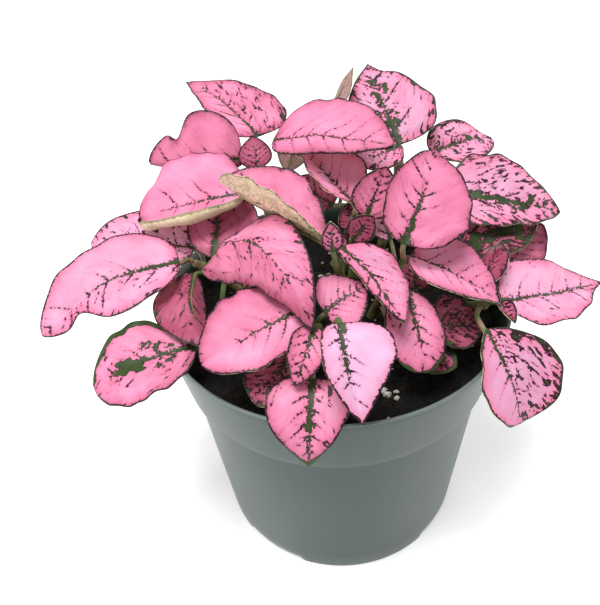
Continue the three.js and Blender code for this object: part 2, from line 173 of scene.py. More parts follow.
def placeCamera():
    data = bpy.data.cameras.new("camera")
    data.lens = viewing["lens"]
    data.sensor_width = viewing["sensor"]
    data.sensor_fit = "HORIZONTAL"
    data.clip_start = 0.01
    camera = addObject("camera", data)
    yaw, pitch, roll = (math.radians(viewing[key]) for key in ("yaw", "pitch", "roll"))
    forwards = Vector((math.sin(yaw) * math.cos(pitch), math.cos(yaw) * math.cos(pitch), -math.sin(pitch)))
    level = forwards.cross(Vector((0, 0, 1))).normalized()
    raised = level.cross(forwards)
    right = level * math.cos(roll) + raised * math.sin(roll)
    up = raised * math.cos(roll) - level * math.sin(roll)
    turned = Matrix((right, up, -forwards)).transposed().to_4x4()
    rim = Vector(standingPoint) + Vector((0, 0, rimHeight * mm))
    place = rim + Vector((0, -viewing["back"], viewing["up"])) * mm
    camera.matrix_world = Matrix.Translation(place) @ turned
    bpy.context.scene.camera = camera


studio = dict(
    sky=0.3,                    # even light from all round, as from a white tent
    floor="#F6F6F6",
    floorGlow=0.34,             # a little light through the board, which keeps its shade pale
    floorSize=6.0,
    # where each soft box hangs, in metres from the pot, its side and its power
    boxes=dict(
        overhead=dict(place=(-0.2, -0.2, 1.45), side=0.6, power=19.0),
        left=dict(place=(-1.2, -0.4, 0.4), side=0.9, power=6.6),
        right=dict(place=(1.25, 0.4, 0.35), side=0.9, power=9.5),
        back=dict(place=(0.2, 1.1, 0.8), side=0.9, power=2.5),
    ),
)


def boardMaterial():
    # matt painted board: a faint mottling so that the shadow lies on something
    material, add = newMaterial("mattPaintedBoard")
    mottle = add("TexNoise", {"Scale": 9.0, "Detail": 2.0})
    shade = add("Mix", {0: mottle, 6: studio["floor"], 7: "#F9F9F9"}, **mixColours)
    surface = add("BsdfPrincipled", {
        "Base Color": shade, "Roughness": 0.9, "Specular IOR Level": 0.2,
        "Emission Color": "#FFFFFF", "Emission Strength": studio["floorGlow"],
    })
    add("OutputMaterial", {0: surface})
    return material


def lightStudio():
    world = bpy.data.worlds.new("studio")
    world.use_nodes = True
    world.node_tree.nodes.clear()
    sky = addNode(world.node_tree, "Background", {0: "#FFFFFF", 1: studio["sky"]})
    addNode(world.node_tree, "OutputWorld", {0: sky})
    bpy.context.scene.world = world
    bpy.context.scene.view_settings.view_transform = "Standard"
    target = Vector(standingPoint) + Vector((0, 0, rimHeight * mm))
    for name, box in studio["boxes"].items():
        data = bpy.data.lights.new(name, "AREA")
        data.size = box["side"]
        data.energy = box["power"]
        light = addObject(name, data)
        light.location = Vector(box["place"])
        light.rotation_euler = (target - light.location).to_track_quat("-Z", "Y").to_euler()
    half = studio["floorSize"] / 2
    corners = [standingPoint + (x * half, y * half, 0) for x, y in ((-1, -1), (1, -1), (1, 1), (-1, 1))]
    mesh = bpy.data.meshes.new("floor")
    mesh.from_pydata([corner.tolist() for corner in corners], [], [(0, 1, 2, 3)])
    mesh.materials.append(boardMaterial())
    addObject("floor", mesh)


placeCamera()
lightStudio()
print("camera and studio placed")


# Pot: half sections are (radius, height, rounding) in mm, from the middle of the underside
# out, up over the rim and back down inside
pot = dict(
    rim=54.0, lip=0.9, height=90.0,
    bandBottom=68.0, bandRadius=50.4, bodyTop=66.8, bodyRadius=48.6,
    foot=43.6, wall=1.2, floorUnderside=3.0, floorThickness=1.4,
    notches=4, firstNotch=-34.0, notchWidth=23.0, notchHeight=2.3,
    holeRadius=4.5, holeDistance=35.0,
    # where the peat dust and painted shade on the inside of the wall begin, and where they are darkest
    dustAndShadeFrom=71.0, dustAndShadeThickest=80.0,
    sides=288,
)


def potSection():
    inner = {key: pot[key] - pot["wall"] for key in ("rim", "bandRadius", "bodyRadius", "foot")}
    floorTop = pot["floorUnderside"] + pot["floorThickness"]
    return [
        (0, pot["floorUnderside"], 0),
        (inner["foot"] - 0.4, pot["floorUnderside"], 0.3),
        (inner["foot"] - 0.4, 0, 0.35),
        (pot["foot"], 0, 0.45),
        (pot["bodyRadius"], pot["bodyTop"], 0.5),
        (pot["bandRadius"], pot["bandBottom"], 0.5),
        (pot["rim"], pot["height"] - 0.1, 0.6),
        (pot["rim"] - pot["lip"], pot["height"], 0.6),
        (inner["rim"] - 0.9, pot["height"] - 2.5, 0.8),
        (inner["bandRadius"], pot["bandBottom"] + 0.8, 0.5),
        (inner["bodyRadius"], pot["bodyTop"] + 0.4, 0.5),
        (inner["foot"] + 0.3, floorTop, 1.0),
        (0, floorTop, 0),
    ]


def rounded(section, steps=4, longest=3.0):
    # the section's corners eased over their rounding, its long runs divided
    line = [section[0][:2]]
    for before, corner, after in zip(section, section[1:], section[2:]):
        place = Vector(corner[:2])
        back, on = Vector(before[:2]) - place, Vector(after[:2]) - place
        cut = min(corner[2], back.length * 0.45, on.length * 0.45)
        start, end = place + back.normalized() * cut, place + on.normalized() * cut
        for w in np.linspace(0, 1, steps + 1):
            line.append(tuple(start.lerp(place, w).lerp(place.lerp(end, w), w)))
    line.append(section[-1][:2])
    fine = [line[0]]
    for a, b in zip(line, line[1:]):
        pieces = max(1, math.ceil(math.dist(a, b) / longest))
        fine += [tuple(Vector(a).lerp(Vector(b), (i + 1) / pieces)) for i in range(pieces)]
    return fine


def turnSection(section, sides, height=None):
    # a closed body of revolution; height(radius, z, angle) may move each point up or down
    rings = [point for point in section if point[0] > 1e-6]
    points = []
    for radius, z in rings:
        for k in range(sides):
            angle = k / sides * 2 * math.pi
            level = height(radius, z, angle) if height else z
            points.append((radius * math.cos(angle), radius * math.sin(angle), level))
    faces = ringFaces(len(rings), sides)
    first, last = len(points), len(points) + 1
    points += [(0, 0, section[0][1]), (0, 0, section[-1][1])]
    offset = (len(rings) - 1) * sides
    for k in range(sides):
        after = (k + 1) % sides
        faces.append((first, after, k))
        faces.append((last, offset + k, offset + after))
    return points, faces


def notchAngles():
    return [math.radians(pot["firstNotch"] + i * 360 / pot["notches"] - 90) for i in range(pot["notches"])]


def footHeight(radius, z, angle):
    # the foot ring is lifted off the table in its notches
    if z > pot["notchHeight"] or radius < pot["foot"] - 3:
        return z
    lift = 0.0
    for notch in notchAngles():
        off = abs((angle - notch + math.pi) % (2 * math.pi) - math.pi) * pot["foot"]
        lift = max(lift, float(ease(pot["notchWidth"] / 2 + 0.5, pot["notchWidth"] / 2 - 0.6, off)))
    return z + (pot["notchHeight"] - z) * lift


def potMaterial():
    # polypropylene, injection moulded against a fine etched tool: a dull satin skin with faint
    # upright flow marks, a little paler towards its foot, and with a painted highlight along its rim
    material, add = newMaterial("polypropyleneSatin")
    place = add("TexCoord", out="Object")
    upright = add("Mapping", {0: place, "Scale": (1, 1, 0.07)})
    flow = add("TexNoise", {"Vector": upright, "Scale": 240.0, "Detail": 2.0})
    mottle = add("TexNoise", {"Vector": place, "Scale": 45.0, "Detail": 3.0})
    etched = add("TexNoise", {"Vector": place, "Scale": 2400.0, "Detail": 2.0})
    height = add("SeparateXYZ", {0: place}, out=2)

    # paler towards the foot, and a painted highlight along the top of the rim
    low = add("MapRange", {0: height, 1: 0.008, 2: 0.0, 3: 0.0, 4: 0.5})
    paleFootAndRimHighlight = add("Math", {0: low, 1: mottle}, operation="MULTIPLY")
    rimTop = pot["height"] * mm
    # a painted highlight: the top of the rim is made paler
    rimHighlight = add("MapRange", {0: height, 1: rimTop - 0.0008, 2: rimTop - 0.0002, 3: 0.0, 4: 0.5})
    paleFootAndRimHighlight = add("Math", {0: paleFootAndRimHighlight, 1: rimHighlight}, operation="MAXIMUM")
    body = add("Mix", {0: mottle, 6: "#33433F", 7: "#3C4B48"}, **mixColours)
    streaked = add("Math", {0: flow, 1: 0.35}, operation="MULTIPLY")
    body = add("Mix", {0: streaked, 6: body, 7: "#475653"}, **mixColours)
    colour = add("Mix", {0: paleFootAndRimHighlight, 6: body, 7: "#8D9893"}, **mixColours)

    # the inside of the wall above the peat is darkened, partly by peat dust and partly by painted shade,
    # thinning out towards the rim
    x, y, _ = standingPoint.tolist()
    flat = add("Mapping", {0: place, "Location": (-x, -y, 0), "Scale": (1, 1, 0)})
    radius = add("VectorMath", {0: flat}, out=1, operation="LENGTH")
    slope = (pot["rim"] - pot["bandRadius"]) / (pot["height"] - pot["bandBottom"])
    leaned = add("Math", {0: height, 1: -slope, 2: radius}, operation="MULTIPLY_ADD")
    midWall = (pot["bandRadius"] - pot["wall"] / 2 - slope * pot["bandBottom"]) * mm
    inside = add("Math", {0: leaned, 1: midWall}, operation="LESS_THAN")
    aboveBand = add("Math", {0: height, 1: pot["dustAndShadeFrom"] * mm}, operation="GREATER_THAN")
    dustAndShade = add("MapRange", {
        0: height, 1: pot["dustAndShadeThickest"] * mm, 2: rimTop - 0.0005, 3: 0.9, 4: 0.2,
    })
    dustyAndShaded = add("Math", {0: inside, 1: dustAndShade}, operation="MULTIPLY")
    dustyAndShaded = add("Math", {0: dustyAndShaded, 1: aboveBand}, operation="MULTIPLY")
    # the dark colour stands for peat dust together with painted shade
    colour = add("Mix", {0: dustyAndShaded, 6: colour, 7: "#1B1A17"}, **mixColours)
    gloss = add("MapRange", {0: mottle, 3: 0.28, 4: 0.38})
    bump = add("Bump", {"Strength": 0.35, "Distance": 0.00003, "Height": etched})
    surface = add("BsdfPrincipled", {
        "Base Color": colour, "Roughness": gloss, "IOR": 1.49, "Specular IOR Level": 0.28, "Normal": bump,
    })
    add("OutputMaterial", {0: surface})
    return material


def makePot():
    points, faces = turnSection(rounded(potSection()), pot["sides"], footHeight)
    piece = addPiece("pot_moulded", points, faces, [potMaterial()], "pot")
    # a drill reaches from under the pot to above its floor
    radius, low, high = pot["holeRadius"], -3, 12
    bore, boreFaces = turnSection([(0, low), (radius, low), (radius, high), (0, high)], 48)
    drills = []
    for i, angle in enumerate(notchAngles()):
        middle = np.array([math.cos(angle), math.sin(angle), 0]) * pot["holeDistance"]
        mesh = bpy.data.meshes.new(f"drill{i}")
        mesh.from_pydata((standingPoint + (np.array(bore) + middle) * mm).tolist(), [], boreFaces)
        drill = addObject(f"drill{i}", mesh)
        cut = piece.modifiers.new(f"hole{i}", "BOOLEAN")
        cut.object = drill
        cut.solver = "EXACT"
        drills.append(drill)
    bpy.context.view_layer.update()
    drilled = bpy.data.meshes.new_from_object(piece.evaluated_get(bpy.context.evaluated_depsgraph_get()))
    piece.modifiers.clear()
    piece.data = drilled
    for drill in drills:
        bpy.data.objects.remove(drill)


makePot()
print("pot moulded")


# Peat: sizes in mm; lumps, crumbs and grains are (how wide, how high) the surface's unevenness is
peat = dict(
    bottom=4.7, bottomBevel=0.6, edge=79.0, crown=81.0, sides=300, rings=105, clearance=0.35,
    lumps=(7.0, 0.9), crumbs=(2.4, 0.75), grains=(0.9, 0.35),
    fibres=70, fibreLength=(2.0, 5.0), fibreRadius=0.12,
    perlite=75, perliteSize=(0.3, 1.1),
    # the first few grains lie together, at a place that shows between two leaves
    handful=(15.5, -35.5), handfulGrains=5, handfulSpread=1.7, handfulSize=(0.45, 0.95),
)


def peatNoise(x, y, size, seed):
    return noise.noise(Vector((x / size, y / size, seed)))


def peatTop(x, y):
    crown, edge = peat["crown"], peat["edge"]
    base = np.interp(math.hypot(x, y), [0, 18, 34.4, 50], [crown, crown - 0.4, edge + 0.8, edge])
    rise = 0.0
    for seed, (size, height) in enumerate((peat["lumps"], peat["crumbs"], peat["grains"])):
        rise += height * peatNoise(x, y, size, 3.1 + seed * 7.7)
    crumb = abs(peatNoise(x, y, 1.7, 41.3))
    return float(base) + rise - 0.5 * crumb + 0.1


def peatMaterial():
    # milled peat with compost, damp: nearly black brown crumbs, rough, with a dull glint where wet
    material, add = newMaterial("milledPeatDamp")
    place = add("TexCoord", out="Object")
    crumbs = add("TexVoronoi", {"Vector": place, "Scale": 700.0}, out=1)
    shade = add("SeparateColor", {0: crumbs})
    lumps = add("TexNoise", {"Vector": place, "Scale": 300.0, "Detail": 5.0})
    dark = add("Mix", {0: lumps, 6: "#050505", 7: "#120F0D"}, **mixColours)
    brown = add("MapRange", {0: shade, 1: 0.8, 2: 1.0, 3: 0.0, 4: 0.6})
    colour = add("Mix", {0: brown, 6: dark, 7: "#302B25"}, **mixColours)
    gloss = add("MapRange", {0: shade, 3: 0.65, 4: 1.0})
    bump = add("Bump", {"Strength": 0.7, "Distance": 0.0004, "Height": lumps})
    surface = add("BsdfPrincipled", {
        "Base Color": colour, "Roughness": gloss, "IOR": 1.4, "Specular IOR Level": 0.3, "Normal": bump,
    })
    add("OutputMaterial", {0: surface})
    return material


def perliteMaterial():
    # expanded volcanic glass: chalky white puffed grains, pitted and soiled in their hollows
    material, add = newMaterial("perliteExpanded")
    place = add("TexCoord", out="Object")
    soil = add("TexNoise", {"Vector": place, "Scale": 1300.0, "Detail": 3.0})
    soiled = add("MapRange", {0: soil, 1: 0.48, 2: 0.7, 3: 0.0, 4: 0.8})
    colour = add("Mix", {0: soiled, 6: "#D9D5CC", 7: "#6E6358"}, **mixColours)
    bump = add("Bump", {"Strength": 0.6, "Distance": 0.0002, "Height": soil})
    surface = add("BsdfPrincipled", {
        "Base Color": colour, "Roughness": 0.9, "IOR": 1.5, "Specular IOR Level": 0.2, "Normal": bump,
    })
    add("OutputMaterial", {0: surface})
    return material


def barkMaterial():
    # shredded bark and root fibre in the mix: matt, flecked brown
    material, add = newMaterial("barkFibre")
    fleck = add("TexNoise", {"Scale": 500.0, "Detail": 3.0})
    brown = add("Mix", {0: fleck, 6: "#1C1511", 7: "#3D2E22"}, **mixColours)
    surface = add("BsdfPrincipled", {"Base Color": brown, "Roughness": 0.85, "Specular IOR Level": 0.25})
    add("OutputMaterial", {0: surface})
    return material


def peatRadius(z):
    # how far the peat reaches at height z, just short of the pot's wall
    heights = [pot["floorUnderside"], pot["bodyTop"], pot["bandBottom"], pot["height"] - 0.4]
    outside = [pot["foot"], pot["bodyRadius"], pot["bandRadius"], pot["rim"]]
    return float(np.interp(z, heights, outside)) - pot["wall"] - peat["clearance"]


def fillPot(edge):
    levels = np.concatenate([
        np.linspace(peat["bottom"], pot["bodyTop"] - 0.8, 10),
        np.linspace(pot["bandBottom"] - 0.4, peat["edge"] - 0.6, 5),
    ])
    underside = [(radius, peat["bottom"]) for radius in (0, 14, 28)]
    wall = [(peatRadius(z) - (peat["bottomBevel"] if z == levels[0] else 0), z) for z in levels]
    surface = [(edge * (1 - part), None) for part in np.linspace(0.004, 0.995, peat["rings"])]

    def height(radius, z, angle):
        if z is not None:
            return z
        return peatTop(radius * math.cos(angle), radius * math.sin(angle))

    points, faces = turnSection(underside + wall + surface + [(0, peatTop(0, 0))], peat["sides"], height)
    addPiece("peat_milled", points, faces, [peatMaterial()], "peat")


def joinPart(points, faces, partPoints, partFaces):
    # adds a part's points and faces to lists that hold the parts before it
    faces += [tuple(index + len(points) for index in face) for face in partFaces]
    points += [tuple(point) for point in partPoints]


def scatterFibres(edge, rng):
    bends = np.linspace(-0.5, 0.5, 5)
    points, faces = [], []
    for _ in range(peat["fibres"]):
        r, a = edge * 0.97 * math.sqrt(rng.uniform(0, 1)), rng.uniform(0, 2 * math.pi)
        heading, length = rng.uniform(0, 2 * math.pi), rng.uniform(*peat["fibreLength"])
        bendy, tilt = rng.uniform(-0.5, 0.5), rng.uniform(-0.25, 0.3)
        path = []
        for w in bends:
            x = r * math.cos(a) + length * (w * math.cos(heading) - bendy * w * w * math.sin(heading))
            y = r * math.sin(a) + length * (w * math.sin(heading) + bendy * w * w * math.cos(heading))
            if math.hypot(x, y) > edge - 0.5:
                break
            path.append((x, y, peatTop(x, y) + 0.15 + w * tilt))
        if len(path) == len(bends):
            radii = peat["fibreRadius"] * rng.uniform(0.6, 1.6) * np.array([0.5, 1, 1.1, 0.9, 0.4])
            joinPart(points, faces, *tube(path, radii, 5, (0.1, 0.1, 1)))
    addPiece("peat_fibres", points, faces, [barkMaterial()])


def scatterPerlite(edge, rng):
    form = bmesh.new()
    bmesh.ops.create_icosphere(form, subdivisions=3, radius=1.0)
    ball = np.array([corner.co for corner in form.verts])
    ballFaces = [tuple(corner.index for corner in face.verts) for face in form.faces]
    form.free()
    smallest, largest = peat["perliteSize"]
    points, faces = [], []
    for number in range(peat["perlite"]):
        r, a = edge * 0.96 * math.sqrt(rng.uniform(0.05, 1)), rng.uniform(0, 2 * math.pi)
        x, y = r * math.cos(a), r * math.sin(a)
        size = smallest + (largest - smallest) * rng.uniform() ** 2.2
        if number < peat["handfulGrains"]:
            x, y = np.array(peat["handful"]) + rng.normal(0, peat["handfulSpread"], 2)
            size = rng.uniform(*peat["handfulSize"])
        stretch = rng.uniform(0.7, 1.25, 3) * (1, 1, 0.8)
        grain = []
        for v in ball:
            swell = 1 + 0.35 * noise.noise(Vector(v * 1.3) + Vector((number * 5.1, 0, 0)))
            pit = 0.18 * abs(noise.noise(Vector(v * 4.0) + Vector((0, number * 3.3, 0))))
            grain.append(v * (swell - pit) * stretch * size + (x, y, peatTop(x, y) + size * 0.35))
        joinPart(points, faces, grain, ballFaces)
    addPiece("peat_perlite", points, faces, [perliteMaterial()])


peatEdge = peatRadius(peat["edge"])
fillPot(peatEdge)
litter = np.random.default_rng(11)
scatterFibres(peatEdge, litter)
scatterPerlite(peatEdge, litter)
print("peat filled")


# stems: the courses are in mm from the centre of the pot's foot, each from the peat upwards
stems = dict(
    front=[(-6, -14, 80), (-7, -23, 92), (-4, -31, 103)],
    middle=[(2, -6, 80), (3, -13, 100), (1, -20, 116)],
    left=[(-22, 2, 80), (-33, 4, 92), (-43, 3, 101)],
    inner_left=[(-16, -4, 80), (-24, -5, 92), (-30, -3, 103)],
    back_left=[(-12, 14, 80), (-20, 26, 100), (-25, 32, 116)],
    centre=[(6, 8, 80), (7, 5, 100), (7, 0, 117)],
    right=[(12, -2, 80), (16, -8, 96), (19, -14, 110)],
    far_right=[(24, -2, 80), (36, -10, 90), (44, -16, 96)],
    right_back=[(24, 10, 80), (33, 12, 95), (38, 12, 108)],
    back_right=[(14, 20, 80), (20, 26, 102), (23, 29, 122)],
    back=[(3, 24, 80), (7, 30, 106), (-5, 24, 131)],
)
stemForm = dict(
    rootDepth=9, rootLean=0.35,
    footRadius=1.9, topRadius=1.1,
    nodeSwelling=0.28,           # mm that a stem is thicker where a leaf leaves it
    sides=16, rings=44,
)


def stemPath(points, samples=200):
    # a curve through the points, evenly spaced by length; it starts under the peat
    foot, knee, top = (np.array(point, float) for point in points)
    root = foot - (knee - foot) * stemForm["rootLean"]
    root[2] = foot[2] - stemForm["rootDepth"]
    knots = [2 * root - foot, root, foot, knee, top, 2 * top - knee]
    path = []
    for i in range(1, 4):
        p0, p1, p2, p3 = knots[i - 1:i + 3]
        gap0, gap1, gap2 = (max(math.sqrt(np.linalg.norm(b - a)), 1e-4)
                            for a, b in ((p0, p1), (p1, p2), (p2, p3)))
        leave = ((p1 - p0) / gap0 - (p2 - p0) / (gap0 + gap1) + (p2 - p1) / gap1) * gap1
        arrive = ((p2 - p1) / gap1 - (p3 - p1) / (gap1 + gap2) + (p3 - p2) / gap2) * gap1
        for w in np.arange(samples) / samples:
            path.append(p1 + leave * w + (3 * (p2 - p1) - 2 * leave - arrive) * w ** 2
                        + (leave + arrive - 2 * (p2 - p1)) * w ** 3)
    path.append(top)
    path = np.array(path)
    lengths = np.concatenate([[0], np.cumsum(np.linalg.norm(np.diff(path, axis=0), axis=1))])
    even = np.linspace(0, lengths[-1], samples + 1)
    return np.stack([np.interp(even, lengths, path[:, k]) for k in range(3)], axis=1)


def stemAt(path, part):
    place = np.array([np.interp(part * (len(path) - 1), range(len(path)), path[:, k]) for k in range(3)])
    near = min(max(int(round(part * (len(path) - 1))), 1), len(path) - 2)
    return place, unit(path[near + 1] - path[near - 1])


def stemRadius(part):
    return stemForm["footRadius"] + (stemForm["topRadius"] - stemForm["footRadius"]) * part


def stemMaterial():
    # soft herbaceous stem: ribbed green skin flushed maroon, so it looks olive with darker streaks
    material, add = newMaterial("herbaceousStemSkin")
    place = add("TexCoord", out="Object")
    lengthwise = add("Mapping", {0: place, "Scale": (1, 1, 0.16)})
    streaks = add("TexNoise", {"Vector": lengthwise, "Scale": 900.0, "Detail": 3.0})
    blush = add("TexNoise", {"Vector": place, "Scale": 160.0, "Detail": 2.0})
    flushed = add("MapRange", {0: blush, 1: 0.42, 2: 0.62})
    green = add("Mix", {0: streaks, 6: "#4F5A2B", 7: "#8C9657"}, **mixColours)
    skin = add("Mix", {0: flushed, 6: green, 7: "#6B4238"}, **mixColours)
    bump = add("Bump", {"Strength": 0.5, "Distance": 0.00015, "Height": streaks})
    surface = add("BsdfPrincipled", {"Base Color": skin, "Roughness": 0.5, "IOR": 1.42, "Normal": bump})
    add("OutputMaterial", {0: surface})
    return material


def growStem(name, path, leafParts, material):
    rings = stemForm["rings"]
    parts = np.linspace(0, 1, rings)
    centres = np.array([stemAt(path, part)[0] for part in parts])
    radii = np.array([stemRadius(part) for part in parts])
    length = np.linalg.norm(np.diff(path, axis=0), axis=1).sum()
    for leafPart in leafParts:
        radii = radii + stemForm["nodeSwelling"] * np.exp(-((parts - leafPart) * length / 1.3) ** 2)
    # the top closes in a small dome
    radii[-1] *= 0.55
    centres = np.vstack([centres, centres[-1] + unit(centres[-1] - centres[-2]) * 0.35])
    radii = np.append(radii, 0.2)
    points, faces = tube(centres, radii, stemForm["sides"], (1, 0, 0))
    addPiece(f"stem_{name}_grown", points, faces, [material], f"stem_{name}")


stemPaths = {name: stemPath(points) for name, points in stems.items()}


# Leaves, listed by the stem they grow on and numbered from 1 in each list. A leaf grows at part
# `at` of its stem's length. `base` and `tip` are the ends of its midrib, in mm from the centre of
# the pot's foot, `face` is the direction that its upper side looks in and `wide` its width in mm.
# `bow` lifts the midrib's middle and `sway` moves it sideways, both in mm, `twist` turns the blade
# from base to tip in degrees and `wave` ripples its margins in mm.
# `left` and `right` give a half's fold at the midrib and its further curl at the margin, in degrees.
# `narrow` and `blunt` say how slowly the outline closes at the base and at the tip, `uneven` widens
# the right half at the left half's cost, and `waist` is a notch: the half it is in (-1 left,
# 1 right), its place along the blade and its depth as a part of the width.
# In `marks`, a pair is (left half, right half).
looks = dict(
    # tone 0 pale to 1 deep, which on leaves that lie in shade is set deeper as painted shade;
    # specks 0 to 1, patch of green round the midrib 0 to 1, reach of the dark midrib 0 to 1 and its
    # half width `rib` in mm, veins 0 to 1, green margin `rim` in mm
    pale=dict(tone=0.15, specks=0.1, patch=0.0, reach=0.5, rib=0.7, veins=0.4, rim=0.0),
    bright=dict(tone=0.4, specks=0.2, patch=0.1, reach=0.6, rib=0.7, veins=0.5, rim=0.0),
    rose=dict(tone=0.6, specks=0.35, patch=0.1, reach=0.7, rib=0.6, veins=0.6, rim=0.1),
    shaded=dict(tone=0.95, specks=0.5, patch=0.2, reach=0.8, rib=0.6, veins=0.6, rim=0.2),
    green=dict(tone=0.45, specks=0.7, patch=0.5, reach=0.8, rib=1.0, veins=0.4, rim=0.5),
)
